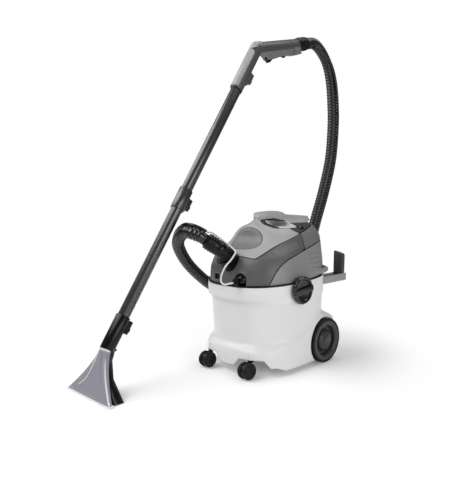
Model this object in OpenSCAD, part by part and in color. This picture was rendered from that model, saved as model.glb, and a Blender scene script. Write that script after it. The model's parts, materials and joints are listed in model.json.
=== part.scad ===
// Spray-extraction cleaner: a wheeled tub with a lift-off head, a two-piece suction wand with a
// spray nozzle, and the ribbed hose that joins them. Millimetres, +Z up. The machine faces -Y.
// The modules draw about the middle of the tub; in_frame() moves that to the part's own origin,
// which is the middle of the footprint of machine and wand.

/* [Tub] */
// Width of the tub at its rim
tub_w = 330; // [310:1:345]
// Length of the tub at its rim
tub_l = 360; // [345:1:380]
// Height of the rim over the middle of the tub
rim_z = 277; // [265:1:300]
// Slope of the rim, rising to the back
rim_tilt = 3.3; // [0:0.1:4]
// Height of the band that runs under the rim
rim_band = 46; // [36:1:52]
// Wall of the tub
tub_wall = 3; // [2:0.5:4]
// Height of the tub's floor over the ground
tub_clear = 26; // [22:1:30]
// Height of the skirt's lower edge over the ground
skirt_clear = 16; // [10:1:20]
// Height of the wells over the casters
caster_clear = 54; // [53:1:58]
// Height of the skirt at the front
skirt_front_z = 92; // [84:1:105]
// Height of the skirt over the rear wheels
skirt_rear_z = 156; // [150:1:165]

/* [Wheels] */
// Diameter of a rear wheel
wheel_d = 144; // [136:1:150]
// Width of a rear wheel
wheel_w = 26; // [24:1:30]
// Depth of the round recess in the skirt that a rear wheel stands in
wheel_sunk = 18; // [14:1:20]
// Distance of the rear axle behind the middle of the tub
wheel_y = 105; // [98:1:108]
// Diameter of the axle stubs
axle_d = 12; // [10:0.5:14]
// Diameter of a caster wheel
caster_d = 49; // [44:1:50]
// Distance between the caster pins
caster_track = 172; // [160:1:180]
// Distance of the caster pins in front of the middle of the tub
caster_y = 164; // [160:1:168]
// Distance from a caster's pin to its axle
caster_trail = 18; // [15:1:20]
// Running clearance on a radius
run_gap = 0.06; // [0.03:0.01:0.1]

/* [Head] */
// Thickness of the rubber seal between tub and head
seal_t = 4; // [3:0.5:6]
// Thickness of the head's outer shells
shell_t = 4; // [3:0.5:5]
// Thickness of the head's inner frame
frame_t = 3; // [2:0.5:4]
// Width of the carrying handle
handle_w = 50; // [42:1:56]
// Diameter of a lock knob
knob_d = 84; // [76:1:88]
// Thickness of a lock knob
knob_t = 20; // [16:1:22]
// Rise of the hose port over the floor
port_rise = 42; // [35:0.5:46]
// Bore of the hose port
port_bore = 46; // [42:1:50]

/* [Wand] */
// Distance of the wand to the left of the machine's middle
wand_x = 122; // [120:1:135]
// Slope of the wand over the floor
wand_slope = 55.8; // [54:0.1:57]
// Outside diameter of the suction tubes
tube_d = 33; // [31:0.5:35]
// Wall of the suction tubes
tube_wall = 1.5; // [1:0.25:2]
// Length of one suction tube
tube_len = 480; // [470:1:485]
// Width of the floor nozzle
nozzle_w = 216; // [190:1:240]
// Length of the grip behind its bend
grip_len = 214; // [205:1:220]
// Slope of the grip over the floor
grip_rise = 15.6; // [12:0.1:18]

/* [Hose] */
// Outside diameter of the suction hose over its ribs
hose_d = 38; // [34:1:40]
// Wall of the suction hose between its ribs
hose_wall = 2; // [1.5:0.25:3]
// Number of ribs on the suction hose
hose_ribs = 160; // [80:1:200]
// Diameter of the spray line that runs along the hose
line_d = 9; // [7:0.5:10]

/* [Hidden] */
$fn = 48;
OVAL_N = 48;
eps = 0.02;
gap = 0.3;
c_white = "#e9e9ea";
c_light = "#a9a9a9";
c_mid = "#8c8c8e";
c_dark = "#5c5c5e";
c_black = "#1c1c1d";
c_rubber = "#2b2b2c";
c_steel = "#b9bcc0";
c_clear = "#a7a5b4";

// Places that several parts share
wheel_r = wheel_d / 2;
caster_r = caster_d / 2;
skirt_x = tub_w / 2 - 3;
wheel_in = skirt_x - wheel_sunk;
well_x = wheel_in - 1;
wheel_out = wheel_in + wheel_w;
knob_y = -32;
knob_z = rim_z - 22;
knob_pin_d = 16;
bin_z = caster_clear + tub_wall + gap;
float_r = 14;
float_y = -70;
float_z = 226;
float_hole = 20;
float_drain = 10;
fan_y = 40;
motor_y = fan_y;
deck_z = rim_z + seal_t;
deck_under = -4;
deck_floor = seal_t + 6;
shaft_d = 10;
socket_at = [48, -tub_l / 2 + 22, rim_z + 3];
hook_x = tub_w / 2 - 55;
hook_y = 250;
hook_z = rim_z - 28;
switch_at = [85.5, 66, 433];
switch_tilt = 32;
port_at = [0, -178, 357];
elbow_bend = 34;
elbow_at = 30;
elbow_len = 46;
// The wand is placed from the mouth of the nozzle's neck
neck_at = [-wand_x, -504.6, 123.6];
tube_r = tube_d / 2;
socket_d = tube_d + 7;
lower_from = 24;
mid_joint = lower_from + tube_len;
upper_from = mid_joint - 36;
upper_to = upper_from + tube_len;
bend_s = upper_to + 108;
bend_at = [-wand_x, neck_at[1] + bend_s * cos(wand_slope), neck_at[2] + bend_s * sin(wand_slope)];
swivel_len = 54;
lip_y = -566;
lip_t = 8;
grip_end = grip_len + swivel_len;
frame_x = (wheel_out - wand_x - nozzle_w / 2) / 2;
frame_y = (bend_at[1] + grip_end * cos(grip_rise) + (lip_y - lip_t)) / 2
    + (hose_d / 2 + 2) * sin(grip_rise) / 2;

module in_frame() { translate([-frame_x, -frame_y, 0]) children(); }
module along_wand(s = 0) {
    translate(neck_at) rotate([wand_slope - 90, 0, 0]) translate([0, 0, s]) children();
}
module along_grip(s = 0) {
    translate(bend_at) rotate([grip_rise - 90, 0, 0]) translate([0, 0, s]) children();
}
module at_port(s = 0) {
    translate(port_at) rotate([90 - port_rise, 0, 0]) translate([0, 0, s]) children();
}
module both_sides() { children(); mirror([1, 0, 0]) children(); }
// A cylinder along X from x0 to x1
module rod_x(x0, x1, d) { translate([x0, 0, 0]) rotate([0, 90, 0]) cylinder(h = x1 - x0, d = d); }

// ---- Lofted ovals: a ring is [z, half width, front y, back y, widest y, front and back power]
function oval_x(t, n) = sign(cos(t)) * pow(abs(cos(t)), 2 / n);
function oval_y(t, n) = sign(sin(t)) * pow(abs(sin(t)), 2 / n);
function oval_at(r, t) = let(n = t > 180 ? r[5] : r[6], reach = t > 180 ? r[4] - r[2] : r[3] - r[4])
    [r[1] * oval_x(t, n), r[4] + reach * oval_y(t, n), r[0]];
function oval_ring(r) = [for (i = [0 : OVAL_N - 1]) oval_at(r, (i + 0.5) * 360 / OVAL_N)];
function inset(rings, d) = [for (r = rings)
    [r[0], r[1] - d, r[2] + d * 1.3, r[3] - d, r[4], r[5], r[6]]];
// The same rings with their top lowered by d
function lowered(rings, d) = let(m = len(rings) - 1)
    [for (i = [0 : m]) let(r = rings[i]) [r[0] - d * pow(i / m, 2), r[1], r[2], r[3], r[4], r[5], r[6]]];

// Skins a stack of rings that have as many points each, bottom to top, with flat ends
module skin(rings) {
    n = len(rings[0]);
    m = len(rings);
    polyhedron(points = [for (r = rings) each r],
        faces = concat([[for (i = [0 : n - 1]) i]],
            [for (k = [0 : m - 2]) for (i = [0 : n - 1]) let(j = (i + 1) % n)
                each [[k * n + i, (k + 1) * n + i, (k + 1) * n + j],
                    [k * n + i, (k + 1) * n + j, k * n + j]]],
            [[for (i = [0 : n - 1]) (m - 1) * n + n - 1 - i]]));
}
module loft(rings) { skin([for (r = rings) oval_ring(r)]); }

// Half spaces above and below the sloping rim
module over_rim(h = 0) {
    translate([0, 0, rim_z + h]) rotate([rim_tilt, 0, 0]) translate([-300, -300, 0])
        cube([600, 600, 400]);
}
module under_rim(h = 0) {
    translate([0, 0, rim_z + h]) rotate([rim_tilt, 0, 0]) translate([-300, -300, -400])
        cube([600, 600, 400]);
}

// ---- Tub
half_w = tub_w / 2;
half_l = tub_l / 2;
tub_rings = [
    [tub_clear, half_w - 11, -half_l + 24, half_l - 8, 0, 2.5, 2.6],
    [rim_z - rim_band - 30, half_w - 5, -half_l + 17, half_l - 2, 0, 2.5, 2.5],
    [rim_z - rim_band - 8, half_w - 4, -half_l + 15, half_l - 2, 0, 2.5, 2.5],
    [rim_z - rim_band, half_w, -half_l + 1, half_l, 0, 2.5, 2.5],
    [rim_z + 20, half_w, -half_l, half_l, 0, 2.5, 2.5]];
cavity_rings = [for (r = inset(tub_rings, tub_wall)) r[0] == tub_clear ?
    [tub_clear + tub_wall, r[1], r[2], r[3], r[4], r[5], r[6]] : r];

// Height of the skirt's upper edge at a place along the tub
function skirt_top(y) = skirt_front_z + (skirt_rear_z - skirt_front_z)
    * pow(min(1, max(0, (y + 140) / (wheel_y + 140))), 1.15);
skirt_low = [skirt_clear, skirt_x, -half_l, half_l + 4, 0, 3, 8];
// Share of the way out from the wall to the skirt, and height over the skirt's edge, down the flare
flare = [[0.03, 9], [0.12, 3], [0.38, -4], [0.7, -10], [0.94, -18], [1, -32]];
// One upright slice of the skirt: down the outside, and back up inside the tub's wall
function skirt_slice(t) =
    let(out = oval_at(skirt_low, t), wall = oval_at(tub_rings[0], t), top = skirt_top(out[1]))
    concat([[wall[0] * 0.985, wall[1] * 0.985, skirt_clear], [out[0], out[1], skirt_clear]],
        [for (i = [len(flare) - 1 : -1 : 0]) let(f = flare[i])
            [wall[0] + (out[0] - wall[0]) * f[0], wall[1] + (out[1] - wall[1]) * f[0], top + f[1]]],
        [[wall[0] * 0.985, wall[1] * 0.985, top + 9]]);
module skirt() {
    slices = [for (i = [0 : OVAL_N - 1]) skirt_slice((i + 0.5) * 360 / OVAL_N)];
    m = len(slices[0]);
    polyhedron(points = [for (s = slices) each s],
        faces = [for (i = [0 : OVAL_N - 1]) let(j = (i + 1) % OVAL_N)
            for (k = [0 : m - 1]) let(l = (k + 1) % m)
                each [[i * m + k, i * m + l, j * m + l], [i * m + k, j * m + l, j * m + k]]]);
}
well_top = 40;
well_foot = 74;
// Space under the tub: the skirt's lower edge rises to the front, with a round well over each caster
module below_tub(lift = 0) {
    rotate([90, 0, 90]) translate([0, 0, -300]) linear_extrude(600)
        polygon([[-400, -50], [-400, 30 + lift], [-182, 30 + lift], [-118, 29 + lift],
            [-84, skirt_clear + lift], [-84, -50]]);
    caster_places() {
        translate([0, 0, -50]) cylinder(h = caster_clear + 50 + lift, r = well_top + lift);
        translate([0, 0, skirt_clear - 4]) cylinder(h = caster_clear - skirt_clear + 4 + lift,
            r1 = well_foot + lift, r2 = well_top + lift);
    }
}
// Round recess that each rear wheel stands in
module wheel_wells(wall = 0) {
    both_sides() translate([0, wheel_y, wheel_r]) rod_x(well_x - wall, skirt_x + 30, wheel_d + 10 + 2 * wall);
}
module caster_places() { for (s = [-1, 1]) translate([s * caster_track / 2, -caster_y, 0]) children(); }

module tub() color(c_white) in_frame() difference() {
    union() {
        difference() {
            union() {
                loft(tub_rings);
                skirt();
            }
            difference() {
                loft(cavity_rings);
                below_tub(tub_wall);
                wheel_wells(tub_wall);
            }
            below_tub();
            wheel_wells();
            over_rim();
        }
        // sockets of the casters, bosses of the axles and knobs, and the feet under the bin
        caster_places() translate([0, 0, caster_clear]) cylinder(h = 20, d = 16);
        both_sides() translate([0, wheel_y, wheel_r]) rod_x(well_x - 24, well_x, axle_d + 14);
        both_sides() translate([0, knob_y, knob_z]) rod_x(half_w - 13, half_w - 0.5, knob_pin_d + 10);
        both_sides() translate([60, 70, tub_clear + 1])
            cylinder(h = bin_z - gap - tub_clear - 1, d = 18);
    }
    caster_places() translate([0, 0, caster_clear - 1]) cylinder(h = 18, d = 8 + 2 * run_gap);
    both_sides() translate([0, wheel_y, wheel_r]) rod_x(well_x - 20, well_x + 5, axle_d);
    both_sides() translate([0, knob_y, knob_z])
        rod_x(half_w - 16, half_w + 5, knob_pin_d + 2 * run_gap);
}

module rim_seal() color(c_black) in_frame() difference() {
    intersection() {
        loft([for (z = [rim_z - 30, rim_z + 40]) [z, half_w - 2, -half_l + 2, half_l - 2, 0, 2.5, 2.5]]);
        over_rim();
        under_rim(seal_t);
    }
    loft([for (z = [rim_z - 40, rim_z + 50]) [z, half_w - 14, -half_l + 15, half_l - 14, 0, 2.5, 2.5]]);
}

bin_rings = [[bin_z, half_w - 34, -half_l + 56, half_l - 34, 0, 2.5, 2.5],
    [rim_z - 22, half_w - 22, -half_l + 34, half_l - 18, 0, 2.5, 2.5]];
module dirty_bin() color(c_dark) in_frame() difference() {
    union() {
        loft(bin_rings);
        // rolled rim
        loft([for (z = [rim_z - 27, rim_z - 22]) [z, half_w - 19, -half_l + 31, half_l - 15, 0, 2.5, 2.5]]);
    }
    loft([for (r = inset(bin_rings, 2.5)) [r[0] + 2.5, r[1], r[2], r[3], r[4], r[5], r[6]]]);
    // pouring lip and hand holds in the rim
    translate([0, half_l - 20, rim_z - 20]) rotate([90, 0, 0]) cylinder(h = 12, d = 30, center = true);
}

// ---- Rear wheels: an axle stub, a dished wheel, a tyre and a cap on each side
module side_x(s) { if (s > 0) children(); else mirror([1, 0, 0]) children(); }
module axle_pin(s) in_frame() side_x(s) translate([0, wheel_y, wheel_r]) {
    rod_x(well_x - 20, wheel_out - 4, axle_d);
}
// Half section of the wheel disc, as [radius, x]: a bell in the middle, a deep groove and a flat rim
module wheel_disc(s) in_frame() side_x(s) translate([wheel_in, wheel_y, wheel_r]) rotate([0, 90, 0])
    rotate_extrude($fn = 72) polygon([[axle_d / 2 + run_gap, 1], [18, 1], [20, 4], [46, 4],
        [54, 1], [wheel_r - 6, 1], [wheel_r - 6, wheel_w - 2], [wheel_r - 8, wheel_w - 1],
        [wheel_r - 20, wheel_w - 2.5], [wheel_r - 23, wheel_w - 5], [wheel_r - 25, 8], [38, 7],
        [35, 10], [32, wheel_w - 8], [28, wheel_w - 4], [20, wheel_w - 1.5], [18, wheel_w - 1.4],
        [18, wheel_w - 4], [axle_d / 2 + run_gap, wheel_w - 4]]);
module tyre(s) in_frame() side_x(s) translate([wheel_in, wheel_y, wheel_r]) rotate([0, 90, 0])
    rotate_extrude($fn = 72) polygon([[wheel_r - 6, 1], [wheel_r - 2, 1], [wheel_r, 4],
        [wheel_r, wheel_w - 3], [wheel_r - 1, wheel_w - 1], [wheel_r - 3, wheel_w], [wheel_r - 6, wheel_w - 0.5]]);
module hub(s) in_frame() side_x(s) translate([wheel_in + wheel_w - 4 + gap, wheel_y, wheel_r])
    rotate([0, 90, 0]) difference() {
        rotate_extrude($fn = 48) polygon([[0, 0], [17.6, 0], [17.6, 2.4], [12, 3.3], [0, 3.7]]);
        translate([0, 0, -1]) cylinder(h = 1.2, d = axle_d);
    }
module axle_left() color(c_steel) axle_pin(-1);
module axle_right() color(c_steel) axle_pin(1);
module rear_wheel_left() color(c_dark) wheel_disc(-1);
module rear_wheel_right() color(c_dark) wheel_disc(1);
module rear_tyre_left() color(c_black) tyre(-1);
module rear_tyre_right() color(c_black) tyre(1);
module hub_cap_left() color(c_dark) hub(-1);
module hub_cap_right() color(c_dark) hub(1);

// ---- Casters: a hooded stem on a steel pin, and two wheels on one axle
caster_axle = 5;
module caster_at(s) in_frame() translate([s * caster_track / 2, -caster_y, 0]) children();
module caster_body(s) caster_at(s) {
    difference() {
        union() {
            translate([0, 0, caster_d - 1]) cylinder(h = caster_clear - gap - caster_d + 1, d = 15);
            translate([0, -caster_trail, caster_r]) rotate([0, 90, 0])
                cylinder(h = 9, d = caster_d - 6, center = true);
            translate([-4.5, -caster_trail, caster_r]) cube([9, caster_trail, caster_r]);
            translate([0, 0, caster_clear - gap - 4]) cylinder(h = 4, d = 18);
        }
        translate([-10, -caster_trail - caster_r, -1]) cube([20, 2 * caster_r + 8, 12]);
    }
    // swivel pin and axle
    translate([0, 0, caster_r + 8]) cylinder(h = caster_clear + 14 - caster_r - 8, d = 8);
    translate([0, -caster_trail, caster_r]) rod_x(-21, 21, caster_axle);
}
module caster_wheel_pair(s) caster_at(s) translate([0, -caster_trail, caster_r])
    for (m = [0, 1]) mirror([m, 0, 0]) translate([5.2, 0, 0]) rotate([0, 90, 0])
        rotate_extrude($fn = 48) polygon([[caster_axle / 2 + run_gap, 0], [caster_r - 2, 0],
            [caster_r, 2], [caster_r, 9], [caster_r - 4, 14], [caster_r - 9, 16.5], [6, 17],
            [caster_axle / 2 + run_gap, 17]]);
module caster_left() color(c_black) caster_body(-1);
module caster_right() color(c_black) caster_body(1);
module caster_wheels_left() color(c_rubber) caster_wheel_pair(-1);
module caster_wheels_right() color(c_rubber) caster_wheel_pair(1);

// ---- Lock knobs
knob_flutes = 16;
module lock_knob(s) in_frame() side_x(s) translate([half_w + gap, knob_y, knob_z]) rotate([0, 90, 0]) {
    difference() {
        union() {
            rotate_extrude($fn = 72) polygon([[0, 0], [knob_d / 2 - 3, 0], [knob_d / 2, 3],
                [knob_d / 2, knob_t - 8], [knob_d / 2 - 3, knob_t - 4], [knob_d / 2 - 9, knob_t - 5],
                [knob_d / 2 - 12, knob_t - 9], [0, knob_t - 9]]);
            // grip bar across the face
            intersection() {
                cylinder(h = knob_t, d = knob_d - 6);
                rotate(8) translate([-8, -knob_d / 2, 0]) cube([16, knob_d, knob_t - 1]);
            }
        }
        for (i = [0 : knob_flutes - 1]) rotate((i + 0.5) * 360 / knob_flutes)
            translate([knob_d / 2 + 2.5, 0, -1]) cylinder(h = knob_t + 2, d = 9, $fn = 24);
    }
    translate([0, 0, -13]) cylinder(h = 14, d = knob_pin_d);
}
module lock_knob_left() color(c_black) lock_knob(-1);
module lock_knob_right() color(c_black) lock_knob(1);

// ---- Head: one lofted form, cut into shells along lines seen from the side
head_rings = [
    [rim_z - 30, half_w - 5, -half_l + 5, half_l - 2, 0, 2.5, 2.5],
    [rim_z + 23, half_w - 7, -half_l + 8, half_l - 2, 0, 2.5, 2.6],
    [318, 154, -168, 178, 0, 2.6, 2.8],
    [345, 145, -157, 179, 0, 2.6, 3],
    [368, 133, -128, 179, 10, 2.6, 3.3],
    [391, 120, -97, 179, 20, 2.6, 3.8],
    [411, 109, -84, 179, 30, 2.6, 4],
    [428, 92, -80, 179, 20, 2.3, 4],
    [437, 78, -74, 178, 30, 2.2, 4],
    [447, 48, -66, 177, 40, 2, 4],
    [456, 32, -57, 175, 60, 2, 4],
    [461, 22, -50, 168, 70, 2, 3]];
module head_form(d = 0) {
    if (d == 0) loft(head_rings); else loft(lowered(inset(head_rings, d), d * 1.1));
}
module head_shell() difference() { head_form(); head_form(shell_t); }
// Everything inside an outline drawn in Y and Z, right across the head
module across(points) rotate([90, 0, 90]) translate([0, 0, -200]) linear_extrude(400) polygon(points);
seam = 1.6;
// Lower edge of the bonnet and front edge of the rear housing, seen from the side as [y, z]
bonnet_edge = [[-300, 331], [-165, 331], [-137, 351], [-112, 364], [-82, 379], [-43, 394], [10, 409],
    [60, 421]];
rear_edge = [[-132, 240], [-127, 272], [-118, 292], [-110, 307], [-101, 318], [-90, 328], [-72, 338],
    [-52, 346], [26, 366], [190, 400]];
function edge_z(e, y) = lookup(y, e);
function raised(e, d) = [for (p = e) [p[0] - d * 0.6, p[1] + d]];
function reversed(e) = [for (i = [len(e) - 1 : -1 : 0]) e[i]];
cover_y = 44;
band_top = 445;

bonnet_front = [[-300, 500], [-300, 420], [-165, 378], [-143, 352], [-139, 350]];

module bonnet_region() intersection() {
    across(concat(bonnet_edge, [[60, 520], [-300, 520]]));
    across(concat(bonnet_front, [[-60, 345], [400, 345], [400, 520]]));
    across([[-300, 200], [cover_y - 12 - seam, 374], [cover_y - seam, 416], [cover_y - seam, 520],
        [-300, 520]]);
}
module cowl_region() difference() {
    across(concat([[-300, 200], [-300, 520], [cover_y - seam, 520], [cover_y - seam, 416],
        [cover_y - 12 - seam, 374]], reversed(raised([for (i = [0 : 8]) rear_edge[i]], seam)),
        [[-135, 200]]));
    intersection() {
        across(concat([for (p = bonnet_edge) [p[0], p[1] - seam]], [[60, 520], [-300, 520]]));
        across(concat([for (p = bonnet_front) [p[0], p[1] - seam]], [[-60, 343], [400, 343], [400, 520]]));
    }
}
module rear_region() across(concat([[250, 200], [250, 412]], reversed(rear_edge), [[-132, 200]]));
module cover_region() across([[cover_y - 12, 368.5 + seam], [cover_y, 418 - seam], [116, 434 - seam],
    [250, 458 - seam], [250, 413 + seam + 1]]);
module band_region() across([[cover_y, 418], [cover_y, band_top],
    [116 + (band_top - 434) * 134 / 24, band_top], [116, 434]]);
module roof_region() across([[cover_y, band_top + seam / 2], [cover_y, 520], [250, 520],
    [250, band_top + seam / 2]]);

// Finger opening under the handle, d smaller all round and with its front end f further back
function slot_outline(d, f) = concat(
    [for (a = [90 : 15 : 270]) [-34 + f + (13 - d) * cos(a), 446 + (13 - d) * sin(a)]],
    [[4, 432 + d]], [for (a = [-90 : 15 : 90]) [44 + (11 - d) * cos(a), 444 + (11 - d) * sin(a)]],
    [[4, 462 - d]]);
module slot_cut(d = 0, f = 0) rotate([90, 0, 90]) translate([0, 0, -120]) linear_extrude(240)
    polygon(slot_outline(d, f));
module port_hole(d) { at_port(-120) cylinder(h = 160, d = d); }

module side_cowl() color(c_dark) in_frame() difference() {
    intersection() {
        head_shell();
        cowl_region();
        over_rim(seal_t + gap);
    }
    port_hole(port_bore + 12 + 2 * gap);
    dome_hole();
}
module bonnet() color(c_light) in_frame() {
    difference() {
        intersection() {
            head_shell();
            bonnet_region();
        }
        slot_cut();
        port_hole(port_bore + 12 + 2 * gap);
        cover_block(gap);
    }
    // floor of the finger opening
    difference() { slot_ring(); liner_region(); }
}
ribs_n = 5;
ledge_rings = [[289, 153, -60, 183, 60, 2.5, 2.8], [295, 157, -60, 194, 60, 2.5, 2.8],
    [301, 157, -60, 194, 60, 2.5, 2.8], [307, 152, -60, 182, 60, 2.5, 2.8]];
module rear_housing() color(c_mid) in_frame() difference() {
    union() {
        intersection() {
            head_shell();
            rear_region();
            over_rim(seal_t + gap);
        }
        // ledge round the back
        difference() {
            intersection() { loft(ledge_rings); rear_region(); over_rim(seal_t + gap); }
            head_form(shell_t - 1);
        }
    }
    // exhaust louvres in the flanks
    for (i = [0 : ribs_n - 1]) translate([0, 40 + 4 * i, 297 + i * 13]) rotate([-8, 0, 0])
        translate([-250, 0, 0]) cube([500, 70, 4]);
    // gland of the mains lead
    translate([0, 150, 320]) rotate([-90, 0, 0]) cylinder(h = 60, d = 16 + 2 * gap);
}
module rear_cover() color(c_dark) in_frame() intersection() {
    head_shell();
    cover_region();
}
module switch_panel() color(c_black) in_frame() difference() {
    intersection() {
        head_shell();
        band_region();
    }
    switch_places() cube([15, 24, 30], center = true);
    slot_cut();
}
rocker_pin_d = 3;
module rocker_pin(h, d) translate([0, h / 2, -6]) rotate([90, 0, 0]) cylinder(h = h, d = d, $fn = 24);
module switch_places() {
    both_sides() translate(switch_at) rotate([0, switch_tilt, 0]) children();
}
// The carcass behind the shells, with the deck that closes the tub
module head_frame() color(c_black) in_frame() {
    head_carcass();
    // pins of the two switches, and the ears that hold them
    intersection() {
        switch_places() union() {
            rocker_pin(26, rocker_pin_d);
            for (m = [-1, 1]) translate([0, m * 13.9, -9]) cube([9, 3.4, 12], center = true);
        }
        head_form(shell_t + gap);
    }
}
module head_carcass() difference() {
    union() {
        difference() {
            intersection() { head_form(shell_t + gap); over_rim(seal_t + gap); }
            difference() { head_form(shell_t + gap + frame_t); under_rim(deck_floor); }
        }
        // skirt of the deck, which seats inside the seal
        intersection() {
            loft([for (z = [rim_z - 30, rim_z + 40]) [z, half_w - 20, -half_l + 21, half_l - 20, 0, 2.5, 2.5]]);
            over_rim(deck_under);
            under_rim(seal_t + 3);
        }
    }
    slot_cut();
    port_hole(port_bore + 12 + 2 * gap);
    translate([0, float_y, 200]) cylinder(h = 120, d = float_hole);
    switch_places() cube([15, 24, 40], center = true);
    dome_hole();
    translate([0, 150, 320]) rotate([-90, 0, 0]) cylinder(h = 60, d = 16 + 2 * gap);
}

// ---- Carrying handle: a loop over the finger opening, whose liner is a black insert
module handle_outline() polygon([[-47, 448], [-47, 463], [-42, 471], [-32, 477], [-12, 481],
    [18, 484], [40, 483], [50, 480], [58, 474], [72, 472], [182, 466], [184, 452], [150, 440],
    [60, 430], [30, 430], [-20, 430]]);
module handle_block() intersection() {
    rotate([90, 0, 90]) translate([0, 0, -60]) linear_extrude(120) handle_outline();
    // rounded nose, and sides that flare onto the head
    union() {
        translate([0, -22, 400]) cylinder(h = 120, d = handle_w);
        translate([0, 185, 0]) rotate([90, 0, 0]) linear_extrude(207)
            polygon([[-34, 430], [34, 430], [34, 450], [handle_w / 2 + 2, 460], [handle_w / 2, 468],
                [handle_w / 2, 490], [-handle_w / 2, 490], [-handle_w / 2, 468],
                [-handle_w / 2 - 2, 460], [-34, 450]]);
    }
    // crowned top
    translate([0, 250, 484 - 60]) rotate([90, 0, 0]) cylinder(h = 400, r = 60, $fn = 96);
}
// Wall round the opening, where it runs through the head
module slot_ring() difference() {
    intersection() {
        slot_cut(0.15, 0.1);
        union() { handle_block(); head_form(); }
    }
    slot_cut(3.5, 10);
}
module liner_region() across([[-100, 400], [-24, 400], [-24, 452], [300, 452], [300, 520], [-100, 520]]);
module carry_handle() color(c_light) in_frame() {
    difference() {
        handle_block();
        slot_cut();
        head_form();
    }
    intersection() {
        difference() { head_shell(); slot_cut(); }
        roof_region();
    }
}
module handle_liner() color(c_black) in_frame() intersection() {
    slot_ring();
    liner_region();
}

// Oval cover over the front of the bonnet
cover_at = [0, -90, 392];
cover_tilt = 36;
module cover_block(grow = 0) translate(cover_at) rotate([cover_tilt, 0, 0]) translate([0, 0, -9 - grow])
    linear_extrude(40) polygon([for (i = [0 : 31]) [(59 + grow) * oval_x(i * 11.25, 2.4),
        (36 + grow) * oval_y(i * 11.25, 2.4)]]);
module bonnet_cover() color(c_dark) in_frame() intersection() {
    cover_block();
    difference() { head_form(); head_form(shell_t - 1); }
}

// ---- Bare plate on the right-hand cowl
plate_at = [0, -41, 373];
module name_plate() color(c_dark) in_frame() intersection() {
    translate(plate_at) rotate([16, 0, 0]) translate([0, -49, -9]) cube([200, 98, 18]);
    difference() { loft(inset(head_rings, -0.9)); head_form(); }
    cowl_region();
}

// ---- Switches: rockers that turn about an axis along Y
module rocker() difference() {
    intersection() {
        translate([-6.4, -11.4, -9.5]) cube([12.8, 22.8, 13]);
        translate([0, 12, -16]) rotate([90, 0, 0]) cylinder(h = 24, r = 19, $fn = 64);
    }
    rocker_pin(30, rocker_pin_d + 2 * run_gap);
}
module suction_switch() color(c_black) in_frame() translate(switch_at) rotate([0, switch_tilt, 0]) rocker();
module pump_switch() color(c_black) in_frame() mirror([1, 0, 0]) translate(switch_at)
    rotate([0, switch_tilt, 0]) rocker();

// ---- Hose port, elbow and spray coupling
module port_ring() color(c_black) in_frame() at_port() difference() {
    union() {
        translate([0, 0, -70]) cylinder(h = 70, d = port_bore + 12);
        translate([0, 0, -5]) cylinder(h = 5, d = port_bore + 18);
    }
    translate([0, 0, -80]) cylinder(h = 90, d = port_bore);
}
module at_elbow(s = 0) { at_port(elbow_at) rotate([0, -elbow_bend, 0]) translate([0, 0, s]) children(); }
elbow_bore = hose_d - 2 * hose_wall - 4;
module hose_elbow() color(c_black) in_frame() difference() {
    union() {
        at_port(-40) cylinder(h = 40 + elbow_at, d = port_bore - 2 * run_gap);
        at_port(0.3) cylinder(h = 9, d = port_bore + 6);
        at_elbow() sphere(d = port_bore + 0.6);
        at_elbow() cylinder(h = elbow_len, d = hose_d + 8);
        for (i = [0 : 2]) at_elbow(elbow_len - 28 + i * 8) cylinder(h = 4, d = hose_d + 11);
    }
    at_port(-41) cylinder(h = 41 + elbow_at, d = elbow_bore);
    at_elbow() sphere(d = elbow_bore + 0.8);
    at_elbow() cylinder(h = elbow_len + 1, d = elbow_bore);
}
dome_d = 40;
dome_h = 7;
plug_z = 3;
module dome_hole() translate(socket_at - [0, 0, 40]) {
    cylinder(h = 40 + dome_h, d = dome_d + 2 * gap);
    translate([0, 0, 40 + dome_h]) sphere(d = dome_d + 2 * gap);
}
module spray_socket() color(c_black) in_frame() difference() {
    translate(socket_at) {
        cylinder(h = dome_h, d = dome_d);
        translate([0, 0, dome_h]) intersection() {
            sphere(d = dome_d);
            cylinder(h = 30, d = 60);
        }
    }
    under_rim(seal_t + gap);
    translate(socket_at + [0, -30, plug_z]) rotate([-90, 0, 0]) cylinder(h = 26, d = 12 + 2 * run_gap);
}
module spray_plug() color(c_black) in_frame() translate(socket_at + [0, -38, plug_z]) rotate([-90, 0, 0])
    difference() {
        union() {
            cylinder(h = 33, d = 12);
            translate([0, 0, 5]) cylinder(h = 10, d = 20);
            translate([0, 0, 8]) for (i = [0 : 5]) rotate(i * 60) translate([10, 0, 2])
                cube([2.6, 5, 6], center = true);
        }
        translate([0, 0, -1]) cylinder(h = 40, d = 3);
    }
module cable_gland() color(c_black) in_frame() translate([0, half_l - 12, 320]) rotate([-90, 0, 0])
    difference() {
        union() {
            cylinder(h = 15, d = 16);
            translate([0, 0, 11]) cylinder(h = 5, d = 22);
            translate([0, 0, -4]) cylinder(h = 4.5, d = 15);
        }
        translate([0, 0, -5]) cylinder(h = 30, d = 9);
    }

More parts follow.
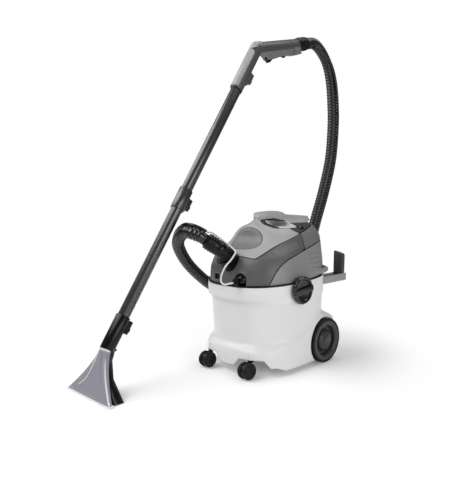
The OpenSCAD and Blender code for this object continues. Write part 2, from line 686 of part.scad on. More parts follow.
// ---- Inside the head
module motor() color(c_steel) in_frame() translate([0, motor_y, deck_z + 53]) difference() {
    union() {
        cylinder(h = 62, d = 100);
        translate([0, 0, 62]) cylinder(h = 14, d1 = 80, d2 = 40);
        for (a = [0, 180]) rotate(a + 90) translate([50, 0, 31]) cube([8, 16, 30], center = true);
    }
    translate([0, 0, -1]) cylinder(h = 10, d = shaft_d + 2 * run_gap);
}
module fan_housing() color(c_steel) in_frame() difference() {
    translate([0, fan_y, deck_z + 11]) difference() {
        translate([0, 0, -16]) cylinder(h = 58, d = 132);
        translate([0, 0, 3]) cylinder(h = 36, d = 124);
        translate([0, 0, -17]) cylinder(h = 30, d = 40);
        translate([0, 0, 30]) cylinder(h = 15, d = shaft_d + 4);
    }
    under_rim(deck_floor);
}
module fan_rotor() color(c_steel) in_frame() translate([0, fan_y, deck_z + 20]) {
    difference() {
        cylinder(h = 26, d = 112);
        translate([0, 0, 2]) difference() { cylinder(h = 22, d = 120); cylinder(h = 22, d = 30); }
        translate([0, 0, -1]) cylinder(h = 10, d = 30);
    }
    for (i = [0 : 8]) rotate(i * 40) translate([14, -1, 1]) rotate(18) cube([38, 2, 24]);
    translate([0, 0, 20]) cylinder(h = 21, d = shaft_d);
}
module pump() color(c_steel) in_frame() difference() {
    translate([-95, 20, deck_z + 12]) {
        translate([-18, -28, -14]) cube([36, 56, 48]);
        translate([0, 20, 18]) rotate([-90, 0, 0]) cylinder(h = 52, d = 31);
        translate([0, -20, 18]) rotate([90, 0, 0]) cylinder(h = 20, d = 12);
    }
    under_rim(deck_floor);
}
module float_cage() color(c_dark) in_frame() difference() {
    translate([0, float_y, 0]) difference() {
        translate([0, 0, float_z - float_r - 4]) cylinder(h = rim_z - float_z + float_r, d = 38);
        translate([0, 0, float_z - float_r]) cylinder(h = 100, d = 2 * float_r + 3);
        for (a = [0, 60, 120]) rotate(a) translate([0, 0, float_z + 6]) cube([60, 9, 30], center = true);
        cylinder(h = 260, d = float_drain);
    }
    over_rim(deck_under);
}
// The ball rests on the edge of the drain hole
module float_ball() color("orange") in_frame()
    translate([0, float_y, float_z - float_r + sqrt(pow(float_r + gap, 2) - pow(float_drain / 2, 2))])
        sphere(r = float_r);

// ---- Hook for the lead at the back
module hook_bracket() color(c_light) in_frame() difference() {
    union() {
        translate([hook_x - 23, half_l - 50, hook_z]) cube([46, hook_y - half_l + 62, 7]);
        translate([hook_x - 23, half_l - 50, hook_z]) cube([5, hook_y - half_l + 62, 24]);
        translate([hook_x + 18, half_l - 50, hook_z]) cube([5, hook_y - half_l + 62, 24]);
        translate([hook_x - 23, hook_y + 7, hook_z]) cube([46, 5, 24]);
    }
    loft([for (z = [0, 400]) [z, half_w, -half_l, half_l, 0, 2.5, 2.5]]);
}
module hook_upright() color(c_dark) in_frame() intersection() {
    translate([hook_x - 17.7, hook_y - 7, hook_z + 7]) rotate([90, 0, 90]) linear_extrude(35.4)
        polygon([[0, 0], [13.7, 0], [13.7, 18], [17, 22], [17, 76], [13, 88], [6, 93], [1, 92], [0, 90]]);
    // the top slopes down to the outside
    translate([hook_x, hook_y + 30, hook_z]) rotate([90, 0, 0]) linear_extrude(60)
        polygon([[-30, 0], [30, 0], [30, 84], [14, 91], [-14, 100], [-30, 100]]);
}

// ---- Wand
module ring_tube(s0, s1, d, bore) translate([0, 0, s0]) difference() {
    cylinder(h = s1 - s0, d = d);
    translate([0, 0, -1]) cylinder(h = s1 - s0 + 2, d = bore);
}
module cylinder_at(s0, s1, d) translate([0, 0, s0]) cylinder(h = s1 - s0, d = d);
latch_arm = 30;
// Socket at one end of a tube, with the ears of its latch behind it
module latch_seat(s) translate([0, tube_r + 1, s]) difference() {
    translate([-9, 0, 0]) cube([18, 14, latch_arm + 8]);
    translate([-6, 4, -1]) cube([12, 16, latch_arm + 10]);
}
module latch_lever(s) translate([0, tube_r + 6, s + 2]) {
    difference() {
        rotate([90, 0, 90]) translate([0, 0, -5.6]) linear_extrude(11.2)
            polygon([[0, 0], [6, 0], [13, 6], [14, 14], [9, 24], [6, 32], [3, 32], [0, 28]]);
        translate([-8, 4.5, 26]) rotate([0, 90, 0]) cylinder(h = 16, d = 3 + 2 * run_gap, $fn = 24);
    }
}
module latch_pin(s) translate([-7.5, tube_r + 10.5, s + 28]) rotate([0, 90, 0]) cylinder(h = 15, d = 3, $fn = 24);
// Channel of the spray line, moulded along the far side of a tube
channel_d = 9;
channel_r = tube_r + 2.4;
module channel(s0, s1, d) rotate(135) translate([channel_r, 0, s0]) cylinder(h = s1 - s0, d = d);
module lower_tube() color(c_black) in_frame() along_wand() {
    difference() {
        union() {
            cylinder_at(lower_from, mid_joint, tube_d);
            channel(104, mid_joint - 66, channel_d);
            cylinder_at(mid_joint - 62, mid_joint + 6, socket_d);
            latch_seat(mid_joint - 50);
        }
        cylinder_at(lower_from - 1, mid_joint - 36 - gap, tube_d - 2 * tube_wall);
        cylinder_at(mid_joint - 36 - gap, mid_joint + 8, tube_d + 2 * run_gap);
        channel(103, mid_joint - 60, 5);
    }
    latch_pin(mid_joint - 50);
}
module upper_tube() color(c_black) in_frame() along_wand() difference() {
    union() {
        cylinder_at(upper_from, upper_to, tube_d);
        channel(mid_joint + 10, upper_to - 66, channel_d);
    }
    cylinder_at(upper_from - 1, upper_to + 1, tube_d - 2 * tube_wall);
    channel(mid_joint + 9, upper_to - 65, 5);
}
latch_at = upper_to - 14;
latch_low_at = 54;
module latch_top() color(c_black) in_frame() along_wand() latch_lever(latch_at);
module latch_middle() color(c_black) in_frame() along_wand() latch_lever(mid_joint - 50);
module latch_low() color(c_black) in_frame() along_wand() latch_lever(latch_low_at);

// Grip: the body round the bend, its pale cover, the trigger and its lock
grip_d = 38;
cover_to = 24;
module grip_skin(d, s0, s1) {
    along_wand(s0) cylinder(h = bend_s - s0, d = d);
    translate(bend_at) sphere(d = d + 0.6);
    along_grip() cylinder(h = s1, d = d);
}
module grip_body() color(c_dark) in_frame() {
    grip_form();
    along_wand() latch_pin(latch_at);
}
module grip_form() difference() {
    union() {
        grip_skin(grip_d, upper_to - 62, grip_len);
        along_wand() latch_seat(latch_at);
        // housing of the valve under the grip
        along_grip() rotate([90, 0, 90]) translate([0, 0, -14]) linear_extrude(28)
            polygon([[10, 14], [27, 36], [37, 42], [34, 62], [31, 120], [32, 150], [20, 178], [10, 178]]);
        // end block that holds the swivel and the spray line
        along_grip(grip_len - 34) translate([-17, 0, 0]) cube([34, 32, 34]);
    }
    along_wand(upper_to - 63) cylinder(h = 63, d = tube_d + 2 * run_gap);
    along_wand(upper_to - 2) cylinder(h = bend_s - upper_to + 2, d = 30);
    translate(bend_at) sphere(d = 30.8);
    along_grip() cylinder(h = grip_len - 14, d = 30);
    along_grip(grip_len - 20) cylinder(h = 30, d = 34 + 2 * run_gap);
    // slots of the trigger and its lock
    along_grip() translate([-5, 20.5, 36]) cube([10, 40, 72]);
    along_grip() translate([-3.4, 22, 122]) cube([6.8, 40, 20]);
    along_grip() trigger_axle(3.2);
}
module grip_cover() color(c_light) in_frame() difference() {
    grip_skin(grip_d + 6, upper_to - 58, cover_to);
    grip_skin(grip_d + 0.8, upper_to - 70, cover_to + 10);
    // only the front and the top are covered
    along_wand(upper_to - 80) translate([-60, -4, 0]) cube([120, 120, 250]);
    along_grip(-30) translate([-60, -4, 0]) cube([120, 120, 260]);
}
module trigger_axle(d) translate([-8, 27, 98]) rotate([0, 90, 0]) cylinder(h = 16, d = d, $fn = 24);
module trigger() color(c_black) in_frame() along_grip() union() {
    rotate([90, 0, 90]) translate([0, 0, -4.6]) linear_extrude(9.2)
        polygon([[24, 102], [31, 104], [34, 92], [36, 66], [44, 52], [45, 42], [40, 38], [32, 40], [26, 60]]);
    trigger_axle(3.2 - 2 * run_gap);
}
module trigger_lock() color(c_black) in_frame() along_grip() translate([-3, 23, 126]) cube([6, 13, 11]);
module hose_swivel() color(c_black) in_frame() along_grip() difference() {
    union() {
        translate([0, 0, grip_len - 14]) cylinder(h = 20, d = 34);
        translate([0, 0, grip_len + gap]) cylinder(h = swivel_len - gap, d = hose_d + 4);
        for (i = [0 : 3]) translate([0, 0, grip_len + 12 + i * 9]) cylinder(h = 4, d = hose_d + 7);
    }
    translate([0, 0, grip_len - 15]) cylinder(h = swivel_len + 20, d = 28);
}

// ---- Floor nozzle: a clear suction shell in front of a black frame with the spray jet
nozzle_drop = neck_at[2];
nozzle_back = neck_at[1];
// One slice across the clear shell: half width and depth grow towards the floor
lip_wall = 3;
function fan(k) = pow(max(0, k), 1.5);
function shell_slice(k, wall) = let(y = nozzle_back + (lip_y - nozzle_back) * k,
    z = nozzle_drop * (1 - k) + 4 * k, w = 17 + (nozzle_w / 2 - lip_wall - 17) * fan(k) - wall,
    d = 13 - 6 * pow(max(0, k), 0.8) - wall)
    [for (i = [0 : 31]) let(t = -(i + 0.5) * 360 / 32, n = 2 + 4 * k)
        [-wand_x + w * oval_x(t, n), y - 7 * (1 - k) - 0.89 * d * oval_y(t, n),
            z - 3 * (1 - k) + 0.45 * d * oval_y(t, n)]];
shell_steps = [0, 0.1, 0.22, 0.36, 0.5, 0.64, 0.78, 0.9, 1];
module shell_form(wall) skin([for (i = [len(shell_steps) - 1 : -1 : 0]) shell_slice(shell_steps[i], wall)]);
module nozzle_shell() color(c_clear) in_frame() difference() {
    shell_form(0);
    skin([for (i = [len(shell_steps) - 1 : -1 : 0])
        shell_slice(shell_steps[i] + (i == 0 ? -0.05 : i == len(shell_steps) - 1 ? 0.05 : 0), 2)]);
    translate([-300, -700, -20]) cube([400, 300, 22]);
}
module nozzle_lip() color(c_white) in_frame() translate([-wand_x - nozzle_w / 2, lip_y - lip_t, 0])
    difference() {
        cube([nozzle_w, lip_t * 2, 6]);
        translate([lip_wall, lip_wall, -1]) cube([nozzle_w - 2 * lip_wall, 2 * (lip_t - lip_wall), 10]);
        translate([wand_x + nozzle_w / 2, lip_t - lip_y, 0]) shell_form(0);
    }
module nozzle_frame() color(c_black) in_frame() {
    frame_form();
    along_wand() latch_pin(latch_low_at);
}
module frame_form() difference() {
    union() {
        // socket on the tube
        along_wand(-4) cylinder(h = 100, d = socket_d);
        along_wand() latch_seat(latch_low_at);
        along_wand() channel(30, 100, channel_d + 1);
        // back plate that widens to the floor
        translate([-wand_x, 0, 0]) skin([
            [for (p = [[-99, -552], [99, -552], [99, -524], [-99, -524]]) [p[0], p[1], 2]],
            [for (p = [[-52, -536], [52, -536], [42, -516], [-42, -516]]) [p[0], p[1], 50]],
            [for (p = [[-22, -518], [22, -518], [14, -500], [-14, -500]]) [p[0], p[1], 90]],
            [for (p = [[-14, -503], [14, -503], [10, -487], [-10, -487]]) [p[0], p[1], 118]],
            [for (p = [[-12, -490], [12, -490], [9, -474], [-9, -474]]) [p[0], p[1], 140]]]);
        // tabs of the jet's latch
        translate([-wand_x - 6, -500, 106]) rotate([20, 0, 0]) cube([12, 22, 4]);
        translate([-wand_x - 6, -508, 92]) rotate([20, 0, 0]) cube([12, 16, 4]);
    }
    along_wand(lower_from - gap) cylinder(h = 90, d = tube_d + 2 * run_gap);
    along_wand(-6) cylinder(h = 40, d = 29);
    shell_form(-gap);
}
module spray_jet() color(c_black) in_frame() translate([-wand_x, -520, 24]) rotate([-60, 0, 0]) difference() {
    union() {
        cylinder(h = 12, d = 12);
        cylinder(h = 18, d = 7);
    }
    translate([0, 0, -1]) cylinder(h = 30, d = 1.6);
}

// ---- Hose, spray line and spray tube
// Route of the suction hose: from the swivel on the grip down behind the machine, along its left
// side, round in front and into the port
hose_route = [
    [-122, 412, 1077], [-122, 442, 1063], [-122, 471, 1040], [-122, 494, 1005], [-122, 511, 955],
    [-122, 521, 890],
    [-122, 526, 812], [-122, 514, 683], [-123, 474, 559], [-126, 430, 450], [-132, 394, 350],
    [-145, 345, 262], [-165, 280, 213], [-185, 205, 190], [-198, 130, 184], [-204, 55, 188],
    [-206, -10, 208], [-207, -64, 240], [-208, -97, 265], [-207, -128, 291], [-204, -153, 314],
    [-196, -178, 339], [-185, -198, 360], [-170, -217, 379], [-150, -232, 396], [-127, -243, 410],
    [-104, -250, 421], [-81, -254, 426], [-59, -253, 423]];
function along(p, rise, d) = [p[0], p[1] + d * cos(rise), p[2] + d * sin(rise)];
swivel_end = along(bend_at, grip_rise, grip_end);
function elbow_point(s) = along(port_at, 180 - port_rise, elbow_at + s * cos(elbow_bend))
    - [s * sin(elbow_bend), 0, 0];
// The hose stops just short of the faces of its two fittings
hose_stop = 0.6;
hose_path = concat([along(swivel_end, grip_rise, hose_stop), along(swivel_end, grip_rise, hose_d)], hose_route,
    [elbow_point(elbow_len + 20), elbow_point(elbow_len + hose_stop)]);

// A smooth curve through the points, as a dense list
function spline_at(p, i, t) = let(n = len(p) - 1, a = p[max(0, i - 1)], b = p[i], c = p[i + 1],
    d = p[min(n, i + 2)])
    b + 0.5 * t * (c - a + t * (2 * a - 5 * b + 4 * c - d + t * (3 * (b - c) + d - a)));
function spline(p, steps) = [for (i = [0 : len(p) - 2]) for (k = [0 : steps - 1])
    (i == 0 || i == len(p) - 2) ? p[i] + (p[i + 1] - p[i]) * k / steps : spline_at(p, i, k / steps),
    p[len(p) - 1]];
// Running length at each point of a list
function run(c) = [for (i = 0, s = 0; i < len(c); i = i + 1, s = i < len(c) ? s + norm(c[i] - c[i - 1]) : s) s];
function unit(v) = v / norm(v);
function resample(c, stations) = let(s = run(c), tx = [for (i = [0 : len(c) - 1]) [s[i], c[i][0]]],
    ty = [for (i = [0 : len(c) - 1]) [s[i], c[i][1]]], tz = [for (i = [0 : len(c) - 1]) [s[i], c[i][2]]])
    [for (q = stations) [lookup(q, tx), lookup(q, ty), lookup(q, tz)]];
function tangents(c) = let(n = len(c) - 1)
    [for (i = [0 : n]) unit(c[min(n, i + 1)] - c[max(0, i - 1)])];
// Side directions that turn as little as possible along the curve
function sides(t) = [for (i = 0, v = unit(cross(t[0], [1, 0, 0.01])); i < len(t);
    i = i + 1, v = i < len(t) ? unit(v - (v * t[i]) * t[i]) : v) v];
function tube_ring(c, t, v, r, n) = let(w = cross(t, v))
    [for (i = [0 : n - 1]) c + r * (cos(i * 360 / n) * v + sin(i * 360 / n) * w)];
hose_curve = spline(hose_path, 8);
hose_len = run(hose_curve)[len(hose_curve) - 1];
echo(hose_len = hose_len);
module swept(curve, stations, radii, sides_n) {
    c = resample(curve, stations);
    t = tangents(c);
    v = sides(t);
    skin([for (i = [0 : len(c) - 1]) tube_ring(c[i], t[i], v[i], radii[i], sides_n)]);
}
rib_h = 1.6;
module suction_hose() color(c_rubber) in_frame() {
    straight = 16;
    pitch = (hose_len - 2 * straight) / hose_ribs;
    stations = concat([0], [for (i = [0 : hose_ribs - 1]) each [straight + (i + 0.22) * pitch,
        straight + (i + 0.78) * pitch]], [hose_len]);
    radii = [for (i = [0 : len(stations) - 1]) i == 0 || i == len(stations) - 1 ? hose_d / 2 - 1 :
        i % 2 == 0 ? hose_d / 2 : hose_d / 2 - rib_h];
    bore_n = 56;
    difference() {
        swept(hose_curve, stations, radii, 8);
        swept([for (i = [0 : len(hose_curve) - 1]) i == 0 ? hose_curve[0] - 2 * unit(hose_curve[1] - hose_curve[0]) :
            i == len(hose_curve) - 1 ? hose_curve[i] + 2 * unit(hose_curve[i] - hose_curve[i - 1]) : hose_curve[i]],
            [for (i = [0 : bore_n]) (hose_len + 4) * i / bore_n],
            [for (i = [0 : bore_n]) hose_d / 2 - rib_h - hose_wall - 0.5], 8);
    }
}

// The spray line lies beside the hose, from the end block of the grip to the clip on the elbow
line_off = (hose_d + line_d) / 2 + 0.6;
line_from = 40;
line_to = hose_len - 12;
// Angle round the hose at which the line lies, from the grip to the elbow
line_turn = [[0, 150], [120, 100], [260, 60], [1100, 60], [1400, 240], [1600, 260], [1700, 235],
    [1760, 205], [1860, 200]];
function beside(curve, off) = let(t = tangents(curve), v = sides(t), s = run(curve))
    [for (i = [0 : len(curve) - 1]) let(a = lookup(s[i], line_turn))
        curve[i] - off * (cos(a) * v[i] + sin(a) * cross(t[i], v[i]))];
line_n = 78;
line_c = beside(resample(hose_curve, [for (i = [0 : line_n])
    line_from + (line_to - line_from) * i / line_n]), line_off);
module spray_line() color(c_rubber) in_frame() {
    t = tangents(line_c);
    v = sides(t);
    skin([for (i = [0 : line_n]) tube_ring(line_c[i], t[i], v[i], line_d / 2, 8)]);
}
// The thin tube that joins the line's end to the coupling, over the elbow and round the port
tube_d2 = 5;
line_end = line_c[line_n];
tube_route = [line_end, line_end + 6 * unit(line_end - line_c[line_n - 1]), [-25, -208, 424],
    [-17, -201, 417], [-9, -193, 409], [-1, -184, 399], [9, -175, 389], [19, -171, 381],
    [34, -171, 370], [38, -182, 359], [36, -194, 346], [31, -207, 332], [28, -217, 315],
    [27, -223, 299], [33, -226, 285], [43, -222, 281], [48, -210, 283], [48, -196, 283]];
module spray_tube() color("white") in_frame() {
    c = spline(tube_route, 3);
    t = tangents(c);
    v = sides(t);
    skin([for (i = [0 : len(c) - 1]) tube_ring(c[i], t[i], v[i], tube_d2 / 2, 8)]);
}

tub();
rim_seal();
dirty_bin();
axle_left();
axle_right();
rear_wheel_left();
rear_wheel_right();
rear_tyre_left();
rear_tyre_right();
hub_cap_left();
hub_cap_right();
caster_left();
caster_right();
caster_wheels_left();
caster_wheels_right();
lock_knob_left();
lock_knob_right();
head_frame();
side_cowl();
bonnet();
rear_housing();
rear_cover();
switch_panel();
carry_handle();
handle_liner();
bonnet_cover();
name_plate();
suction_switch();
pump_switch();
port_ring();
hose_elbow();
spray_socket();
spray_plug();
cable_gland();
motor();
fan_housing();
fan_rotor();
pump();
float_cage();
float_ball();
hook_bracket();
hook_upright();
grip_body();
grip_cover();
trigger();
trigger_lock();
hose_swivel();
upper_tube();
lower_tube();
latch_top();
latch_middle();
latch_low();
nozzle_shell();
nozzle_frame();
nozzle_lip();
spray_jet();
suction_hose();
spray_line();
spray_tube();
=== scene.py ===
# Spray-extraction cleaner: tub, lift-off head, wand and hoses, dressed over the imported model.
# Shapes are worked out in millimetres about the middle of the tub, as on a drawing, with the
# machine facing -Y; toFrame() turns them into metres in the part's own frame.
import bmesh
import bpy
import json
import math
import numpy as np
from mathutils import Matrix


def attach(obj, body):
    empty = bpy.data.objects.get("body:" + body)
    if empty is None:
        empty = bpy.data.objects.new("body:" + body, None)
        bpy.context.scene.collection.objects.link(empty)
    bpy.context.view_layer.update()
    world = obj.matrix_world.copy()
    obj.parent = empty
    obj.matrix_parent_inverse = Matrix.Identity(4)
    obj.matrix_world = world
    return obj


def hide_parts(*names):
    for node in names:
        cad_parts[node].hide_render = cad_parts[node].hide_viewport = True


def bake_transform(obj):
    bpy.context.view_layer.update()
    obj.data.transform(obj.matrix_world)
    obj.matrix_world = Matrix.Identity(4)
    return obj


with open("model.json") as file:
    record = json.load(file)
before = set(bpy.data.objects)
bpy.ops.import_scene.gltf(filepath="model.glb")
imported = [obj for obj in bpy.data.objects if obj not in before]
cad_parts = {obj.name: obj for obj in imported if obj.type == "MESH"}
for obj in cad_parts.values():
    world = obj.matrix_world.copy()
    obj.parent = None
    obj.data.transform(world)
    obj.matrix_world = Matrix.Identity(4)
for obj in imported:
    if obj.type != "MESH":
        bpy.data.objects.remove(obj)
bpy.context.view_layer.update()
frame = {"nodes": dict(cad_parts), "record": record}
nodes = frame["nodes"]
print("loaded", len(nodes), "solids")

machine = {"middle": (30.0, 110.633, 0.0)}  # middle of the tub in the part's frame


def toFrame(points):
    return (np.asarray(points, float) + machine["middle"]) / 1000.0


def fromFrame(points):
    return np.array(points) * 1000 - machine["middle"]


def tilted(points, degrees):  # turned about X
    a = math.radians(degrees)
    p = np.asarray(points, float)
    return np.stack([p[..., 0], p[..., 1] * math.cos(a) - p[..., 2] * math.sin(a),
                     p[..., 1] * math.sin(a) + p[..., 2] * math.cos(a)], -1)


def placed(name, data):
    obj = bpy.data.objects.new(name, data)
    bpy.context.scene.collection.objects.link(obj)
    return obj


camera = {"azimuth": 41.876, "elevation": 11.005, "distance": 1600.0, "aim": (0.0, 0.0, 200.0),
          "lens": 39.486, "sensor": 36.0, "shift": (-0.0931, 0.1249), "clip": (0.05, 60.0)}


# A camera at the distance from its aim, seen along the azimuth and elevation.
def makeCamera(c):
    a, e = math.radians(c["azimuth"]), math.radians(c["elevation"])
    back = np.array([math.sin(a) * math.cos(e), -math.cos(a) * math.cos(e), math.sin(e)])
    data = bpy.data.cameras.new("studioCamera")
    data.sensor_fit, data.sensor_width, data.lens = "HORIZONTAL", c["sensor"], c["lens"]
    data.shift_x, data.shift_y = c["shift"]
    data.clip_start, data.clip_end = c["clip"]
    cam = placed("studioCamera", data)
    cam.location = toFrame(np.array(c["aim"]) + c["distance"] * back)
    cam.rotation_euler = (math.radians(90) - e, 0.0, a)
    bpy.context.scene.camera = cam


makeCamera(camera)
print("camera stands")


# A colour written as sRGB in hex, in linear values with full alpha.
def linear(hexColour):
    c = np.array([int(hexColour[i:i + 2], 16) for i in (1, 3, 5)]) / 255.0
    return tuple(np.where(c <= 0.04045, c / 12.92, ((c + 0.055) / 1.055) ** 2.4)) + (1.0,)


# Adds a node; settings are inputs or properties by name, links give the outputs that feed its inputs.
def addNode(tree, kind, settings=None, links=None):
    node = tree.nodes.new(kind)
    for name, value in (settings or {}).items():
        if isinstance(name, int) or name in node.inputs:
            node.inputs[name].default_value = value
        else:
            setattr(node, name, value)
    for name, source in (links or {}).items():
        tree.links.new(source, node.inputs[name])
    return node


def newMaterial(name):
    mat = bpy.data.materials.new(name)
    mat.use_nodes = True
    mat.node_tree.nodes.clear()
    return mat, mat.node_tree


# What a finish has unless it says otherwise. drift and grain are the sizes of the colour's drift and of the
# surface's grain in mm, dark and light the ends of the drift as shares of the colour.
usualFinish = {"drift": 70, "grain": 1.4, "dark": 0.94, "light": 1.04, "bump": 0.12, "bumpDepth": 0.4,
               "smoother": 0.05, "rougher": 0.06, "metal": 0.0, "coat": 0.0, "coatRough": 0.12,
               "specular": 0.5, "ior": 1.5}


# Injection-moulded plastic: a base colour that drifts a little over the part, a fine spark-eroded grain in
# the bump, and a roughness that follows the grain.
def mouldedPlastic(name, finish):
    m = {**usualFinish, **finish}
    mat, tree = newMaterial(name)
    place = addNode(tree, "ShaderNodeTexCoord")
    drift = addNode(tree, "ShaderNodeTexNoise", {"Scale": 1000.0 / m["drift"], "Detail": 3.0},
                    {"Vector": place.outputs["Object"]})
    grain = addNode(tree, "ShaderNodeTexNoise",
                    {"Scale": 1000.0 / m["grain"], "Detail": 4.0, "Roughness": 0.6},
                    {"Vector": place.outputs["Object"]})
    low, high = (tuple(min(1.0, c * m[end]) for c in linear(m["colour"])[:3]) + (1.0,)
                 for end in ("dark", "light"))
    tint = addNode(tree, "ShaderNodeMix", {"data_type": "RGBA"}, {"Factor": drift.outputs["Fac"]})
    tint.inputs[6].default_value, tint.inputs[7].default_value = low, high  # its two colour inputs
    rough = addNode(tree, "ShaderNodeMapRange",
                    {"To Min": m["rough"] - m["smoother"], "To Max": m["rough"] + m["rougher"]},
                    {"Value": grain.outputs["Fac"]})
    bump = addNode(tree, "ShaderNodeBump", {"Strength": m["bump"], "Distance": m["bumpDepth"] / 1000},
                   {"Height": grain.outputs["Fac"]})
    shader = addNode(tree, "ShaderNodeBsdfPrincipled",
                     {"IOR": m["ior"], "Metallic": m["metal"], "Coat Weight": m["coat"],
                      "Specular IOR Level": m["specular"], "Coat Roughness": m["coatRough"]},
                     {"Base Color": tint.outputs[2], "Roughness": rough.outputs["Result"],
                      "Normal": bump.outputs["Normal"]})
    addNode(tree, "ShaderNodeOutputMaterial", {}, {"Surface": shader.outputs["BSDF"]})
    return mat


finishes = {
    # glossy white polypropylene of the tub: soft highlights, no visible grain
    "glossPolypropyleneWhite": {"colour": "#ECECEC", "rough": 0.30, "grain": 3.0, "bump": 0.03, "dark": 0.985,
                                "light": 1.0},
    "sealRubber": {"colour": "#121212", "rough": 0.6, "bump": 0.2, "specular": 0.3},
    "binPolypropyleneGrey": {"colour": "#3A3A3C", "rough": 0.45},
    "turnedSteel": {"colour": "#B9BCC0", "rough": 0.3, "metal": 1.0, "grain": 0.8},
    "wheelNylonGrey": {"colour": "#343434", "rough": 0.34, "bump": 0.1},
    "tyreRubber": {"colour": "#0E0E0E", "rough": 0.55, "bump": 0.2, "specular": 0.3},
    "absBlackSatin": {"colour": "#080808", "rough": 0.28, "bump": 0.06, "specular": 0.3},
    "absBlackGloss": {"colour": "#0D0D0D", "rough": 0.16, "bump": 0.04, "coat": 0.3},
    "tubeBlack": {"colour": "#0A0A0B", "rough": 0.4, "grain": 12, "bump": 0.0, "coat": 0.5, "specular": 1.0},
    "frameAbsBlack": {"colour": "#141414", "rough": 0.6, "specular": 0.3},
    "cowlAbsDark": {"colour": "#5C5C5C", "rough": 0.42, "bump": 0.1},
    "bonnetAbsLight": {"colour": "#ABABAB", "rough": 0.42, "bump": 0.1},
    "housingAbsMid": {"colour": "#8A8A8C", "rough": 0.42, "bump": 0.1},
    "coverAbsDark": {"colour": "#737170", "rough": 0.42, "bump": 0.1},
    "plateAbsDark": {"colour": "#686868", "rough": 0.36, "bump": 0.06},
    "bandAbsDark": {"colour": "#3A3A3A", "rough": 0.38, "bump": 0.1, "specular": 0.35},
    "ovalAbsMid": {"colour": "#7E7E7E", "rough": 0.44, "bump": 0.12},
    "motorSteel": {"colour": "#7C7E82", "rough": 0.4, "metal": 0.8},
    "innerNylon": {"colour": "#4A4B4D", "rough": 0.5},
    "floatPolypropyleneOrange": {"colour": "#D9782D", "rough": 0.4},
    "bracketAbsGrey": {"colour": "#9B9B9B", "rough": 0.42},
    "uprightAbsDark": {"colour": "#3F3F3F", "rough": 0.42},
    "gripAbsDark": {"colour": "#4C4C4C", "rough": 0.40, "bump": 0.12},
    "gripCoverAbsLight": {"colour": "#A6A6A6", "rough": 0.42, "bump": 0.1},
    "valveAbsMid": {"colour": "#787878", "rough": 0.42, "bump": 0.1},
    # paler than the bonnet: painted light on the wall inside the finger opening, which lies in shade
    "openingPaintedLighter": {"colour": "#D2D2D2", "rough": 0.42, "bump": 0.08},
    # painted highlight: the clear shell's ridge tops and neck collar take this brighter colour for the light
    # its moulded edges gather
    "polycarbonatePaintedHighlight": {"colour": "#E3E2E8", "rough": 0.16, "bump": 0.02, "coat": 0.4},
    "hosePolyethyleneBlack": {"colour": "#171717", "rough": 0.26, "bump": 0.05, "coat": 0.2},
    "sprayLineVinylBlack": {"colour": "#121213", "rough": 0.2, "bump": 0.03, "coat": 0.3},
    "sprayTubeClear": {"colour": "#E4E4E2", "rough": 0.25, "bump": 0.03, "dark": 0.95},
    "nozzleLipWhite": {"colour": "#F4F4F4", "rough": 0.35, "bump": 0.05},
}
mats = {name: mouldedPlastic(name, m) for name, m in finishes.items()}


# Clear moulded polycarbonate: a grey tint that lets a share of the light straight through, and a soft sheen.
def clearPlastic(name, m):
    mat, tree = newMaterial(name)
    place = addNode(tree, "ShaderNodeTexCoord")
    ripple = addNode(tree, "ShaderNodeTexNoise", {"Scale": 1000.0 / m["ripple"], "Detail": 2.0},
                     {"Vector": place.outputs["Object"]})
    bump = addNode(tree, "ShaderNodeBump", {"Strength": m["bump"], "Distance": m["bumpDepth"] / 1000},
                   {"Height": ripple.outputs["Fac"]})
    shader = addNode(tree, "ShaderNodeBsdfPrincipled",
                     {"Base Color": linear(m["colour"]), "Roughness": m["rough"], "IOR": m["ior"],
                      "Alpha": m["alpha"]}, {"Normal": bump.outputs["Normal"]})
    addNode(tree, "ShaderNodeOutputMaterial", {}, {"Surface": shader.outputs["BSDF"]})
    return mat


# ripple is the size of the walls' waviness in mm, alpha the share of the light that doesn't pass
clearWall = {"rough": 0.2, "ripple": 14, "bump": 0.15, "bumpDepth": 0.5, "ior": 1.5}
clearFinishes = {"polycarbonateClear": {**clearWall, "colour": "#A3A1AC", "alpha": 0.8},
                 # the darker clear finish is painted shade, laid into the nozzle shell's grooves
                 "polycarbonatePaintedShade": {**clearWall, "colour": "#686575", "alpha": 0.9}}
mats.update({name: clearPlastic(name, m) for name, m in clearFinishes.items()})
print("materials made", len(mats))


# A smooth-shaded piece of one material from points in mm about the middle of the tub.
def newPiece(name, points, faces, material):
    mesh = bpy.data.meshes.new(name)
    mesh.from_pydata(toFrame(points).tolist(), [], faces)
    mesh.validate()
    mesh.polygons.foreach_set("use_smooth", np.ones(len(mesh.polygons), bool))
    mesh.materials.append(mats[material])
    return placed(name, mesh)


# Quads between neighbouring rows of a grid of points whose last column joins the first.
def gridFaces(rows, cols):
    r, c = np.meshgrid(np.arange(rows - 1), np.arange(cols), indexing="ij")
    a, b = (r * cols + c).ravel(), (r * cols + (c + 1) % cols).ravel()
    return np.stack([a, b, b + cols, a + cols], 1)


